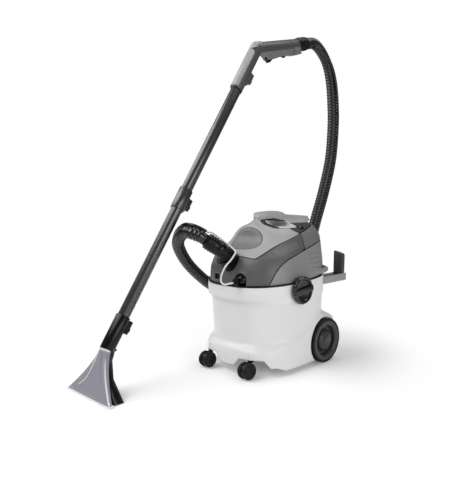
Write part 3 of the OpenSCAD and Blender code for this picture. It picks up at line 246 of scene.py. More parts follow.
# Smooth curve through the points (x, y) with no overshoot: cubic pieces whose slopes are the harmonic means
# of the neighbouring slopes, and straight lines beyond the ends.
def monotone(x, y, q):
    x, y, q = np.asarray(x, float), np.asarray(y, float), np.asarray(q, float)
    h, d = np.diff(x), np.diff(y) / np.diff(x)
    m = np.zeros(len(x))
    same = d[:-1] * d[1:] > 0
    w1, w2 = 2 * h[1:] + h[:-1], h[1:] + 2 * h[:-1]
    before, after = (np.where(slope == 0, 1, slope) for slope in (d[:-1], d[1:]))
    m[1:-1][same] = ((w1 + w2) / (w1 / before + w2 / after))[same]
    m[0], m[-1] = d[0], d[-1]
    i = np.clip(np.searchsorted(x, q) - 1, 0, len(x) - 2)
    t = (q - x[i]) / h[i]
    tc = np.clip(t, 0, 1)
    s = ((1 + 2 * tc) * (1 - tc) ** 2 * y[i] + tc * (1 - tc) ** 2 * h[i] * m[i]
         + tc ** 2 * (3 - 2 * tc) * y[i + 1] + tc ** 2 * (tc - 1) * h[i] * m[i + 1])
    return s + np.where(t < 0, t * h[i] * m[0], 0) + np.where(t > 1, (t - 1) * h[i] * m[-1], 0)


wand = {"neck": (-122.0, -504.6, 123.6), "slope": 55.8, "bendAt": 1056.0, "gripRise": 15.6,
        "gripLength": 214.0, "swivel": 54.0}
wandDir = np.array([0, math.cos(math.radians(wand["slope"])), math.sin(math.radians(wand["slope"]))])
gripDir = np.array([0, math.cos(math.radians(wand["gripRise"])), math.sin(math.radians(wand["gripRise"]))])
bendPoint = np.array(wand["neck"]) + wand["bendAt"] * wandDir
swivelEnd = bendPoint + (wand["gripLength"] + wand["swivel"]) * gripDir
port = {"at": (0.0, -178.0, 357.0), "rise": 42.0, "bend": 34.0, "elbowAt": 30.0, "elbowLength": 46.0,
        "bore": 46.0, "collar": 6.0}


def elbowPoint(s):  # on the elbow's outer arm, s from its bend
    rise, bend = math.radians(port["rise"]), math.radians(port["bend"])
    out = port["elbowAt"] + s * math.cos(bend)
    return np.array(port["at"]) + [-s * math.sin(bend), -out * math.cos(rise), out * math.sin(rise)]


hose = {"diameter": 38.0, "ribs": 160, "ribHeight": 1.6, "plainEnd": 16.0, "sides": 28, "perRib": 8,
        "lineDiameter": 9.0, "lineGap": -1.2, "lineSides": 16, "linePoints": 79, "lineStart": 40.0,
        "lineStop": 12.0, "liftStart": (-207, -60, 240), "liftEnd": (-207, -222, 240),
        "route": [
            (-122, 412, 1077), (-122, 442, 1063), (-122, 471, 1040), (-122, 494, 1005), (-122, 511, 955),
            (-122, 521, 890), (-122, 526, 812), (-122, 514, 683), (-123, 474, 559), (-126, 430, 450),
            (-132, 394, 350), (-145, 345, 262), (-165, 280, 213), (-185, 205, 190), (-198, 130, 184),
            (-204, 55, 188), (-206, -10, 208), (-207, -64, 240), (-208, -97, 265), (-207, -128, 291),
            (-204, -153, 314), (-196, -178, 339), (-185, -198, 360), (-170, -217, 379), (-150, -232, 396),
            (-127, -243, 410), (-104, -250, 421), (-81, -254, 426), (-59, -253, 423)],
        # where the spray line lies round the hose, as (mm along the hose, degrees)
        "lineTurn": [(0, 150), (120, 100), (260, 60), (1100, 60), (1400, 240), (1600, 260), (1700, 235),
                     (1760, 205), (1860, 200)]}


# Catmull-Rom curve through the points, steps to a span; the first and last spans may be kept straight.
def catmull(points, steps, straightEnds=True):
    p = np.asarray(points, float)
    n = len(p) - 1
    i, t = np.repeat(np.arange(n), steps), np.tile(np.arange(steps) / steps, n)[:, None]
    a, b, c, d = p[np.maximum(i - 1, 0)], p[i], p[i + 1], p[np.minimum(i + 2, n)]
    out = b + 0.5 * t * (c - a + t * (2 * a - 5 * b + 4 * c - d + t * (3 * (b - c) + d - a)))
    if straightEnds:
        end = ((i == 0) | (i == n - 1))[:, None]
        out = np.where(end, b + (c - b) * t, out)
    return np.vstack([out, p[-1]])


def runningLength(c):
    return np.concatenate([[0], np.cumsum(np.linalg.norm(np.diff(c, axis=0), axis=1))])


def resample(c, stations):
    s = runningLength(c)
    return np.stack([np.interp(stations, s, c[:, k]) for k in range(3)], -1)


# Unit tangents, and two side directions that turn as little as possible along the curve.
def sideFrames(c):
    t = np.empty_like(c)
    t[1:-1], t[0], t[-1] = c[2:] - c[:-2], c[1] - c[0], c[-1] - c[-2]
    t /= np.linalg.norm(t, axis=1)[:, None]
    v = np.empty_like(c)
    side = np.cross(t[0], [1, 0, 0.01])
    for i in range(len(c)):
        side = side - np.dot(side, t[i]) * t[i]
        side /= np.linalg.norm(side)
        v[i] = side
    return t, v, np.cross(t, v)


# A circle of the given radius carried along the curve; radius may change from station to station.
def tubeSurface(c, radius, sides):
    t, v, w = sideFrames(c)
    angle = np.arange(sides) * 2 * math.pi / sides
    ring = np.cos(angle)[None, :, None] * v[:, None] + np.sin(angle)[None, :, None] * w[:, None]
    return c[:, None] + np.asarray(radius, float).reshape(-1, 1, 1) * ring


# The tube's surface as a piece, closed at both ends by a fan of triangles about the middle.
def closedTube(name, surface, material):
    rows, cols = surface.shape[:2]
    verts = np.vstack([surface.reshape(-1, 3), surface[0].mean(0), surface[-1].mean(0)])
    k = rows * cols
    faces = gridFaces(rows, cols)[:, ::-1].tolist()
    faces += [[j, (j + 1) % cols, k] for j in range(cols)]
    faces += [[k - cols + (j + 1) % cols, k - cols + j, k + 1] for j in range(cols)]
    return newPiece(name, verts, faces, material)


hosePath = catmull(np.vstack([swivelEnd, swivelEnd + hose["diameter"] * gripDir, hose["route"],
                              elbowPoint(port["elbowLength"] + 20), elbowPoint(port["elbowLength"])]), 8)
hoseLength = runningLength(hosePath)[-1]


# Ribbed hose: the radius swells to each rib as a rounded wave along the length, between two plain ends.
def makeHose(h):
    lead = h["plainEnd"]
    pitch = (hoseLength - 2 * lead) / h["ribs"]
    s = np.concatenate([[0, lead * 0.5], lead + np.arange(h["ribs"] * h["perRib"] + 1) * pitch / h["perRib"],
                        [hoseLength - lead * 0.5, hoseLength]])
    phase = np.clip((s - lead) / pitch, 0, h["ribs"])
    wave = 0.5 - 0.5 * np.cos(2 * math.pi * phase)
    r = h["diameter"] / 2 - h["ribHeight"] * 1.25 * (1 - wave ** 0.7)
    surface = tubeSurface(resample(hosePath, s), r, h["sides"])
    return closedTube("ribbedHose", surface, "hosePolyethyleneBlack")


hosePiece = makeHose(hose)
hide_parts("suction_hose")
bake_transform(hosePiece)


# A curve laid beside another at the offset, turning round it as lineTurn says.
def beside(curve, offset):
    t, v, w = sideFrames(curve)
    a = np.radians(np.interp(runningLength(curve), *np.array(hose["lineTurn"], float).T))[:, None]
    return curve - offset * (np.cos(a) * v + np.sin(a) * w)


linePath = beside(resample(hosePath, np.linspace(hose["lineStart"], hoseLength - hose["lineStop"],
                                                 hose["linePoints"])),
                  (hose["diameter"] + hose["lineDiameter"]) / 2 + hose["lineGap"])
lineSmooth = catmull(linePath, 4, False)
lineSurface = tubeSurface(lineSmooth, hose["lineDiameter"] / 2, hose["lineSides"])
linePiece = closedTube("sprayLine", lineSurface, "sprayLineVinylBlack")
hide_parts("spray_line")
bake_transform(linePiece)

lineEnd = linePath[-1]
lineOut = (linePath[-1] - linePath[-2]) / np.linalg.norm(linePath[-1] - linePath[-2])
sprayTube = {"diameter": 5.0, "sides": 12, "plainEnd": 6.0, "route": [
    (-25, -208, 424), (-17, -201, 417), (-9, -193, 409), (-1, -184, 399), (9, -175, 389), (19, -171, 381),
    (34, -171, 370), (38, -182, 359), (36, -194, 346), (31, -207, 332), (28, -217, 315), (27, -223, 299),
    (33, -226, 285), (43, -222, 281), (48, -210, 283), (48, -196, 283)]}
tubeSmooth = catmull(np.vstack([lineEnd, lineEnd + sprayTube["plainEnd"] * lineOut, sprayTube["route"]]), 6)
clearSurface = tubeSurface(tubeSmooth, sprayTube["diameter"] / 2, sprayTube["sides"])
tubePiece = closedTube("sprayTube", clearSurface, "sprayTubeClear")
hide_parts("spray_tube")
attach(tubePiece, "head")
print("hoses lie, hose length %.0f mm" % hoseLength)


# Distance of the points (a, b) to a closed outline, positive inside it.
def outlineDistance(outline, a, b):
    p = np.asarray(outline, float)
    q = np.roll(p, -1, axis=0)
    best, inside = np.full(a.shape, 1e9), np.zeros(a.shape, bool)
    for (ax, ay), (bx, by) in zip(p, q):
        dx, dy = bx - ax, by - ay
        size = dx * dx + dy * dy
        if size < 1e-12:
            continue
        t = np.clip(((a - ax) * dx + (b - ay) * dy) / size, 0, 1)
        best = np.minimum(best, (a - ax - t * dx) ** 2 + (b - ay - t * dy) ** 2)
        if ay != by:
            crossing = ((ay > b) != (by > b)) & (a < (bx - ax) * (b - ay) / (by - ay) + ax)
            inside ^= crossing
    return np.where(inside, 1, -1) * np.sqrt(best)


# Cuts a triangle mesh along keep = 0 and keeps the side where it is positive.
def cutAway(verts, tris, keep):
    d = keep(verts)
    d = np.where(np.abs(d) < 1e-7, 1e-7, d)
    side = d[tris] > 0
    count = side.sum(1)
    out = [tris[count == 3]]
    cutTris = tris[(count == 1) | (count == 2)]
    cutSide = side[(count == 1) | (count == 2)]
    pairs = np.concatenate([np.stack([cutTris[:, i], cutTris[:, (i + 1) % 3]], 1) for i in range(3)])
    crossing = (d[pairs[:, 0]] > 0) != (d[pairs[:, 1]] > 0)
    key = np.sort(pairs, 1)
    unique, index = np.unique(key[crossing], axis=0, return_inverse=True)
    da, db = d[unique[:, 0]], d[unique[:, 1]]
    t = (da / (da - db))[:, None]
    fresh = verts[unique[:, 0]] * (1 - t) + verts[unique[:, 1]] * t
    number = np.full(len(pairs), -1)
    number[crossing] = len(verts) + index.ravel()
    m = len(cutTris)
    onEdge = number.reshape(3, m).T  # the new vertex between corners i and i + 1
    for lone in range(3):
        a, b, c = lone, (lone + 1) % 3, (lone + 2) % 3
        one = cutSide[:, a] & ~cutSide[:, b] & ~cutSide[:, c]
        out.append(np.stack([cutTris[one, a], onEdge[one, a], onEdge[one, c]], 1))
        two = ~cutSide[:, a] & cutSide[:, b] & cutSide[:, c]
        out.append(np.stack([onEdge[two, a], cutTris[two, b], cutTris[two, c]], 1))
        out.append(np.stack([onEdge[two, a], cutTris[two, c], onEdge[two, c]], 1))
    faces = np.concatenate(out)
    verts = np.vstack([verts, fresh])
    used, faces = np.unique(faces, return_inverse=True)
    return verts[used], faces.reshape(-1, 3)


# The mean direction of the triangles round each vertex, by their areas.
def vertexNormals(verts, tris):
    n = np.cross(verts[tris[:, 1]] - verts[tris[:, 0]], verts[tris[:, 2]] - verts[tris[:, 0]])
    out = np.zeros_like(verts)
    for k in range(3):
        np.add.at(out, tris[:, k], n)
    return out / np.maximum(np.linalg.norm(out, axis=1), 1e-12)[:, None]


# Draws the open edge of a surface inwards by depth, as the rolled edge of a moulding.
def rolledEdge(verts, tris, depth):
    e = np.sort(np.concatenate([tris[:, [0, 1]], tris[:, [1, 2]], tris[:, [2, 0]]]), 1)
    unique, count = np.unique(e, axis=0, return_counts=True)
    rim = np.unique(unique[count == 1])
    out = verts.copy()
    out[rim] -= depth * vertexNormals(verts, tris)[rim]
    return out


def thicken(obj, thickness):  # inwards, in mm
    wall = obj.modifiers.new("wall", "SOLIDIFY")
    wall.thickness, wall.offset = thickness / 1000, -1


# A moulded shell of the thickness on a body, in place of the named solids.
def shellPiece(name, verts, tris, material, thickness, body, replaces=()):
    obj = newPiece(name, verts, tris.tolist(), material)
    thicken(obj, thickness)
    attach(obj, body)
    if replaces:
        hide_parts(*replaces)


# Ovals stacked in height: half width, front and back reach, widest place and two corner powers are smooth
# functions of z, and each point lies at the polar angle phi on r = (|cos/a|^n + |sin/b|^n)^(-1/n).
def ovalSurface(rings, heights, phi):
    r = np.asarray(rings, float)
    a, front, back, wide, nf, nb = (monotone(r[:, 0], r[:, k], heights)[:, None] for k in range(1, 7))
    c, s = np.cos(phi)[None], np.sin(phi)[None]
    isFront = s < 0
    n, b = np.where(isFront, nf, nb), np.where(isFront, wide - front, back - wide)
    radius = (np.abs(c / a) ** n + np.abs(s / b) ** n) ** (-1 / n)
    z = np.broadcast_to(np.asarray(heights)[:, None], radius.shape)
    return np.stack([radius * c, wide + radius * s, z], -1)


# The points of a grid as rows of triangles; cap closes the last row to its middle.
def trianglesOf(surface, cap=False):
    rows, cols = surface.shape[:2]
    q = gridFaces(rows, cols)
    tris = np.vstack([q[:, [0, 1, 2]], q[:, [0, 2, 3]]])
    verts = surface.reshape(-1, 3)
    if cap:
        k = np.arange(cols)
        tris = np.vstack([tris, np.stack([(rows - 1) * cols + k, (rows - 1) * cols + (k + 1) % cols,
                                          np.full(cols, len(verts))], 1)])
        verts = np.vstack([verts, surface[-1].mean(0)])
    return verts, tris


tub = {"width": 330.0, "length": 360.0, "rimZ": 277.0, "rimTilt": 3.3, "rimBand": 46.0, "floorZ": 26.0,
       "skirtClear": 16.0, "casterClear": 54.0, "skirtFront": 92.0, "skirtRear": 156.0, "wheelY": 105.0,
       "casterTrack": 172.0, "casterY": 164.0, "wellTop": 40.0, "wellFoot": 74.0, "wheelRadius": 72.0,
       "skirtHalf": 162.0, "riseFrom": -140.0, "wheelGap": 4.8, "skirtIn": 143.0, "proud": 0.35, "wall": 1.0,
       "roll": 0.3}
halfW, halfL = tub["width"] / 2, tub["length"] / 2
around = 360  # points round the tub and the head
phiAll = np.arange(around) * 2 * math.pi / around


# Height of the tub's rim, which slopes up to the back.
def rimHeight(y):
    return tub["rimZ"] + y * math.tan(math.radians(tub["rimTilt"]))


# Outside of the tub: the wall, its band under the rim, and the skirt that flares from the wall in an S-curve;
# the top edge follows the sloping rim, the lower edge the wells of the casters.
def makeTubSkin(t):
    band = t["rimZ"] - t["rimBand"]
    # each oval: height, half width, front, back, its widest place and the corner powers in front and behind
    rings = [[t["floorZ"], halfW - 11, -halfL + 24, halfL - 8, 0, 2.5, 2.6],
             [band - 30, halfW - 5, -halfL + 17, halfL - 2, 0, 2.5, 2.5],
             [band - 8, halfW - 4, -halfL + 15, halfL - 2, 0, 2.5, 2.5],
             [band, halfW, -halfL + 1, halfL, 0, 2.5, 2.5],
             [t["rimZ"] + 20, halfW, -halfL, halfL, 0, 2.5, 2.5]]
    foot = [[z, t["skirtHalf"], -halfL, halfL + 4, 0, 3, 8] for z in (0, 400)]
    skirtXY = ovalSurface(foot, np.array([0.0]), phiAll)[0][:, :2]
    rise = np.clip((skirtXY[:, 1] - t["riseFrom"]) / (t["wheelY"] - t["riseFrom"]), 0, 1) ** 1.15
    top = t["skirtFront"] + (t["skirtRear"] - t["skirtFront"]) * rise
    # the flare, as (share of the way out, height over the skirt's edge)
    flare = np.array([(0, 22), (0.02, 14), (0.06, 8), (0.14, 3), (0.27, -1), (0.42, -4.3), (0.58, -7.5),
                      (0.73, -11), (0.85, -15), (0.94, -20), (0.985, -26), (1, -34)])
    bandHeights = np.arange(t["rimZ"] + 16, t["rimZ"] - 44, -2.0)
    rows = list(ovalSurface(rings, bandHeights, phiAll))

    def wallAt(z):  # the wall's point at each angle, at the height given for that angle
        return ovalSurface(rings, z, phiAll)[np.arange(around), np.arange(around)]
    bandFoot, flareTop, flareFoot = t["rimZ"] - 44, top + flare[0, 1], top + flare[-1, 1]
    for k in range(1, 26):  # the plain wall down to the flare
        rows.append(wallAt(bandFoot + (flareTop - bandFoot) * k / 26))
    for u, dz in flare:
        a = wallAt(top + dz)
        rows.append(np.column_stack([a[:, :2] + (skirtXY - a[:, :2]) * u, top + dz]))
    for k in range(1, 13):  # the skirt's plain wall
        rows.append(np.column_stack([skirtXY, flareFoot + (t["skirtClear"] - flareFoot) * k / 12]))
    surface = np.array(rows)[::-1]
    verts, tris = trianglesOf(surface)
    verts = verts + t["proud"] * vertexNormals(verts, tris)
    verts, tris = cutAway(verts, tris, lambda p: rimHeight(p[:, 1]) - p[:, 2])

    def overFloor(p):  # above the lower edge and clear of the casters' round wells
        low = np.interp(p[:, 1], [-182, -118, -84], [30, 29, t["skirtClear"]])
        away = np.hypot(np.abs(p[:, 0]) - t["casterTrack"] / 2, p[:, 1] + t["casterY"])
        slant = (t["wellFoot"] - t["wellTop"]) / (t["casterClear"] - t["skirtClear"] + 4)
        well = away - t["wellTop"] - slant * np.clip(t["casterClear"] - p[:, 2], 0, 60)
        return np.minimum(p[:, 2] - low + 0.2, np.maximum(well, p[:, 2] - t["casterClear"]))

    def roundWheel(p):  # clear of the rear wheels
        away = np.hypot(p[:, 1] - t["wheelY"], p[:, 2] - t["wheelRadius"]) - t["wheelRadius"] - t["wheelGap"]
        return np.maximum(away, t["skirtIn"] - np.abs(p[:, 0]))
    verts, tris = cutAway(verts, tris, overFloor)
    verts, tris = cutAway(verts, tris, roundWheel)
    shellPiece("tubSkin", rolledEdge(verts, tris, t["roll"]), tris, "glossPolypropyleneWhite", t["wall"],
               "machine")


makeTubSkin(tub)
print("tub moulded")

seam = 1.6  # gap between neighbouring shells of the head
# each ring: height, half width, front, back, its widest place and the corner powers in front and behind
head = {"wall": 4.0, "roll": 0.9, "sealGap": 4.3, "rings": [
    [247, 160, -175, 178, 0, 2.5, 2.5], [300, 158, -172, 178, 0, 2.5, 2.6],
    [318, 154, -168, 178, 0, 2.6, 2.8],
    [345, 145, -157, 179, 0, 2.6, 3], [368, 133, -128, 179, 10, 2.6, 3.3], [391, 120, -97, 179, 20, 2.6, 3.8],
    [411, 109, -84, 179, 30, 2.6, 4], [428, 92, -80, 179, 20, 2.3, 4], [437, 78, -74, 178, 30, 2.2, 4],
    [447, 48, -66, 177, 40, 2, 4], [456, 32, -57, 175, 60, 2, 4], [461, 22, -50, 168, 70, 2, 3]]}
# seams of the head as seen from the side, as (y, z)
bonnetEdge = np.array([(-300, 331), (-165, 331), (-137, 351), (-112, 364), (-82, 379), (-43, 394), (10, 409),
                       (60, 421)], float)
bonnetFront = np.array([(-300, 420), (-165, 378), (-143, 352), (-139, 350), (-60, 345), (400, 345)], float)
rearEdge = np.array([(-132, 240), (-127, 272), (-118, 292), (-110, 307), (-101, 318), (-90, 328), (-72, 338),
                     (-52, 346), (26, 366), (190, 400)], float)
coverY, bandTop = 44.0, 445.0


# Height of the bonnet's lower edge on the flanks and across the front.
def lowerBonnet(y):
    return np.maximum(monotone(bonnetEdge[:, 0], bonnetEdge[:, 1], y),
                      np.interp(y, bonnetFront[:, 0], bonnetFront[:, 1]))


yB = np.linspace(-300, coverY - seam, 240)
yR = np.linspace(-300, coverY - 1.5 * seam, 240)
rearSmooth = catmull(np.column_stack([rearEdge, np.zeros(len(rearEdge))]), 10, False)[:, :2]
rearRaised = rearSmooth[rearSmooth[:, 0] < 26] + [-seam * 0.6, seam]
bandRear = np.array([(116, 434), (250, 458)], float)  # the straight seam between band and rear cover
bandEnd = float(np.interp(bandTop, bandRear[:, 1], bandRear[:, 0]))
outlines = {
    "bonnet": np.vstack([np.column_stack([yB, lowerBonnet(yB)])[yB < 36.5],
                         [(36.0, 415.8), (24.6, 421.6), (14.6, 428.2), (10.0, 434), (10.0, 446),
                          (coverY - seam, 446), (coverY - seam, 520), (-300, 520)]]),
    "sideCowl": np.vstack([[(-300, 200)], np.column_stack([yR, lowerBonnet(yR) - seam]),
                           [(coverY - 12 - seam, 374)], rearRaised[::-1], [(-135, 200)]]),
    "rearHousing": np.vstack([[(250, 200), (250, 412)], rearSmooth[::-1], [(-132, 200)]]),
    "rearCover": np.vstack([[(coverY - 12, 368.5 + seam), (coverY, 418 - seam)], bandRear - [0, seam],
                            [(250, 414.6)]]),
    "switchBand": np.array([(38.6, 416.6), (26.6, 422.8), (16.6, 429.3), (12.0, 434.6), (12.0, bandTop),
                            (bandEnd, bandTop), (116, 434)])}


def arc(y, z, radius, first, last):  # every 10 degrees, in the side view
    a = np.radians(np.arange(first, last + 1, 10))
    return np.column_stack([y + radius * np.cos(a), z + radius * np.sin(a)])


# the finger opening from the side: round ends joined by slightly bulging edges
slotOutline = np.vstack([arc(-34, 446, 13, 90, 270), [(4, 432)], arc(44, 444, 11, -90, 90), [(4, 462)]])
socketAt = np.array([48.0, -halfL + 22, tub["rimZ"] + 3])
portDir = np.array([0, -math.cos(math.radians(port["rise"])), math.sin(math.radians(port["rise"]))])


# Distances from the axis of the hose port, and from the dome round the spray coupling.
def fromPortAxis(p):
    q = p - port["at"]
    return np.linalg.norm(q - (q @ portDir)[:, None] * portDir, axis=1)


dome = {"radius": 21.5, "straight": 7.0, "rim": 2.6, "rimFrom": 3.0, "rimHalf": 2.2}


def fromDome(p):
    flat = np.hypot(p[:, 0] - socketAt[0], p[:, 1] - socketAt[1])
    over = np.maximum(p[:, 2] - socketAt[2] - dome["straight"], 0)
    return np.hypot(flat, over) - dome["radius"]


ventAt = {"x": (-62.0, -36.0), "z": (283.0, 299.0)}
farOff = 9.0  # a cut is above 0 where the shell stays; away from its own side it has this value


def frontVent(p):  # dark air inlet low on the front
    past = [np.abs(p[:, k] - sum(ends) / 2) - (ends[1] - ends[0]) / 2
            for k, ends in ((0, ventAt["x"]), (2, ventAt["z"]))]
    return np.where(p[:, 1] < -60, np.maximum(*past), farOff)


# hole and cover are how far the bonnet's opening and the cover reach past the outline
oval = {"at": np.array([0, -90.0, 392.0]), "tilt": 36.0, "half": (59.0, 36.0), "power": 2.4, "deep": 14.0,
        "hole": 0.8, "cover": -0.2, "roll": 0.8, "rear": -20.0}


# Below 1 inside the oval cover's outline, which is drawn square to its own slope.
def ovalEdge(p, grow):
    q = tilted(p - oval["at"], -oval["tilt"])
    share = np.abs(q[:, :2] / (np.array(oval["half"]) + grow)) ** oval["power"]
    return share.sum(1) + np.where(q[:, 2] < -oval["deep"], farOff, 0)


headHeights = np.concatenate([np.arange(270, 330, 2.5), np.arange(330, 440, 2.0), np.arange(440, 461.1, 1.0)])
headVerts, headTris = trianglesOf(ovalSurface(head["rings"], headHeights, phiAll), True)


def inSlot(p):
    return -outlineDistance(slotOutline, p[:, 1], p[:, 2])


def portHole(p):
    return np.where(p[:, 1] < -60, fromPortAxis(p) - port["bore"] / 2 - port["collar"] - 0.3, farOff)


# A shell of the head inside one outline of the side view, less the cuts; shape may then press its surface.
def headShell(name, outline, material, nodesReplaced, cuts=(), shape=None):
    v, t = cutAway(headVerts, headTris, lambda p: outlineDistance(outlines[outline], p[:, 1], p[:, 2]))
    for cut in (lambda p: p[:, 2] - rimHeight(p[:, 1]) - head["sealGap"], *cuts):
        v, t = cutAway(v, t, cut)
    if shape:
        v = shape(v, t)
    shellPiece(name, rolledEdge(v, t, head["roll"]), t, material, head["wall"], "head", nodesReplaced)


headShell("bonnetShell", "bonnet", "bonnetAbsLight", ["bonnet"],
          [inSlot, portHole, lambda p: np.where(p[:, 1] < oval["rear"], ovalEdge(p, oval["hole"]) - 1, 1)])


# Raised rim round the hole of the spray coupling: lifted along the normal by a bell curve of the distance.
def domeRim(v, t):
    lift = dome["rim"] * np.exp(-((fromDome(v) - dome["rimFrom"]) / dome["rimHalf"]) ** 2)
    return v + lift[:, None] * vertexNormals(v, t)


headShell("sideCowlShell", "sideCowl", "cowlAbsDark", ["side_cowl"], [portHole, fromDome, frontVent], domeRim)
louvre = {"count": 5, "y": (44.0, 122.0), "z": 302.0, "pitch": 13.5, "tilt": 1.0, "half": 4.0, "depth": 3.4}


# Exhaust louvres: rounded grooves pressed into both flanks, each rising slightly to the back.
def louvres(v, t):
    q = v.copy()
    along = np.clip(v[:, 1], *louvre["y"])
    n = vertexNormals(v, t)
    for k in range(louvre["count"]):
        zc = louvre["z"] + k * louvre["pitch"] + (along - 60) * math.tan(math.radians(louvre["tilt"]))
        d = np.hypot(v[:, 2] - zc, v[:, 1] - along)
        press = np.clip(1 - (d / louvre["half"]) ** 2, 0, 1) ** 0.7
        q -= (louvre["depth"] * press * (np.abs(v[:, 0]) > 90))[:, None] * n
    return q


gland = {"z": 320.0, "radius": 8.3}


def roundGland(p):
    return np.where(p[:, 1] > 100, np.hypot(p[:, 0], p[:, 2] - gland["z"]) - gland["radius"], farOff)


headShell("rearHousingShell", "rearHousing", "housingAbsMid", ["rear_housing"], [roundGland], louvres)
headShell("rearCoverShell", "rearCover", "coverAbsDark", ["rear_cover"])
rocker = {"at": (85.5, 66.0, 433.0), "tilt": 32.0, "half": (7.5, 12.0)}


def aroundRockers(p):
    q = np.column_stack([np.abs(p[:, 0]), p[:, 1], p[:, 2]]) - rocker["at"]
    a = math.radians(rocker["tilt"])
    u = q[:, 0] * math.cos(a) - q[:, 2] * math.sin(a)
    return np.maximum(np.abs(u) - rocker["half"][0], np.abs(q[:, 1]) - rocker["half"][1])


headShell("switchBandShell", "switchBand", "bandAbsDark", ["switch_panel"], [aroundRockers, inSlot])
ledge = {"steps": 24, "sunk": 2.0, "wall": 2.5, "rings": [
    [288, 150, -60, 176, 60, 2.5, 2.8], [291, 153.5, -60, 188, 60, 2.5, 2.8],
    [295, 156.5, -60, 193, 60, 2.5, 2.8], [298, 157, -60, 194, 60, 2.5, 2.8],
    [301, 156.5, -60, 193, 60, 2.5, 2.8], [305, 154, -60, 188.5, 60, 2.5, 2.8],
    [308, 151, -60, 177, 60, 2.5, 2.8]]}


# Rounded ledge round the back of the housing: ovals stacked over a half-round profile, kept where they stand
# out of the head.
def makeLedge(g):
    heights = np.linspace(g["rings"][0][0], g["rings"][-1][0], g["steps"])
    v, t = trianglesOf(ovalSurface(g["rings"], heights, phiAll))
    column = np.tile(np.arange(around), g["steps"])
    onHead = ovalSurface(head["rings"], v[:, 2], phiAll)[np.arange(len(v)), column]
    out = np.hypot(v[:, 0], v[:, 1]) - np.hypot(onHead[:, 0], onHead[:, 1]) + g["sunk"]
    v, t = cutAway(v, t, lambda p: np.where(p[:, 1] > 20, out, -1.0))
    v, t = cutAway(v, t, lambda p: p[:, 2] - rimHeight(p[:, 1]) - head["sealGap"] - 0.3)
    shellPiece("housingLedge", v, t, "housingAbsMid", g["wall"], "head")


makeLedge(ledge)


# The oval cover is the head's own surface inside the oval.
def makeOvalCover():
    v, t = cutAway(headVerts, headTris, lambda p: 1 - ovalEdge(p, oval["cover"]))
    v, t = cutAway(v, t, lambda p: oval["rear"] - p[:, 1])
    shellPiece("ovalCover", rolledEdge(v, t, oval["roll"]), t, "ovalAbsMid", head["wall"], "head",
               ["bonnet_cover"])


makeOvalCover()
print("head shells cut")

# weld in mm; facets within flat degrees of each other are joined, edges over sharp degrees are rounded
rounding = {"weld": 0.002, "flat": 0.6, "sharp": 32, "segments": 2}


# A copy of a solid with its coplanar facets joined and its sharp edges rounded. only keeps the separate
# solids that pass a test; trim cuts by planes, each a point and the direction cut off; other gives the faces
# that pass a test a second finish.
def softened(name, material, body, width, only=None, trim=(), other=None):
    bm = bmesh.new()
    bm.from_mesh(nodes[name].data)
    bmesh.ops.remove_doubles(bm, verts=bm.verts, dist=rounding["weld"] / 1000)
    if only:
        todo, drop = set(bm.verts), []
        while todo:
            island, front = set(), [next(iter(todo))]
            while front:
                v = front.pop()
                if v in todo:
                    todo.discard(v)
                    island.add(v)
                    front += [e.other_vert(v) for e in v.link_edges]
            if not only(fromFrame([v.co for v in island])):
                drop += island
        bmesh.ops.delete(bm, geom=drop, context="VERTS")
    for at, away in trim:
        bmesh.ops.bisect_plane(bm, geom=bm.verts[:] + bm.edges[:] + bm.faces[:], dist=1e-6,
                               plane_co=toFrame(at), plane_no=away, clear_outer=True)
        bmesh.ops.holes_fill(bm, edges=[e for e in bm.edges if e.is_boundary], sides=0)
    bmesh.ops.dissolve_limit(bm, angle_limit=math.radians(rounding["flat"]), verts=bm.verts, edges=bm.edges)
    if other:
        for f in bm.faces:
            f.material_index = int(other[1](fromFrame(f.calc_center_median())))
    mesh = bpy.data.meshes.new(name + "Soft")
    bm.to_mesh(mesh)
    bm.free()
    mesh.polygons.foreach_set("use_smooth", np.ones(len(mesh.polygons), bool))
    mesh.materials.append(mats[material])
    if other:
        mesh.materials.append(mats[other[0]])
    obj = placed(name + "Soft", mesh)
    bevel = obj.modifiers.new("edges", "BEVEL")
    bevel.width, bevel.segments, bevel.limit_method = width / 1000, rounding["segments"], "ANGLE"
    bevel.angle_limit = math.radians(rounding["sharp"])
    bevel.harden_normals = True
    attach(obj, body)
    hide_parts(name)


soft = {  # solid: edge radius in mm
    "lock_knob_left": 1.2, "lock_knob_right": 1.2, "caster_left": 0.8, "caster_right": 0.8,
    "caster_wheels_left": 1.0, "caster_wheels_right": 1.0, "rear_wheel_left": 1.0, "rear_wheel_right": 1.0,
    "rear_tyre_left": 1.0, "rear_tyre_right": 1.0, "hub_cap_left": 0.6, "hub_cap_right": 0.6,
    "hook_bracket": 1.0, "hook_upright": 2.0, "carry_handle": 3.2, "handle_liner": 1.0,
    "trigger": 1.0, "trigger_lock": 0.6, "latch_top": 0.8, "latch_middle": 0.8, "latch_low": 0.8,
    "hose_swivel": 0.8, "upper_tube": 0.6, "lower_tube": 0.8, "nozzle_frame": 0.8, "nozzle_lip": 0.6,
    "spray_jet": 0.4, "spray_plug": 0.5, "spray_socket": 0.5, "port_ring": 0.8, "hose_elbow": 0.8,
    "cable_gland": 0.5, "suction_switch": 0.6, "pump_switch": 0.6}
print("solids to soften", len(soft))

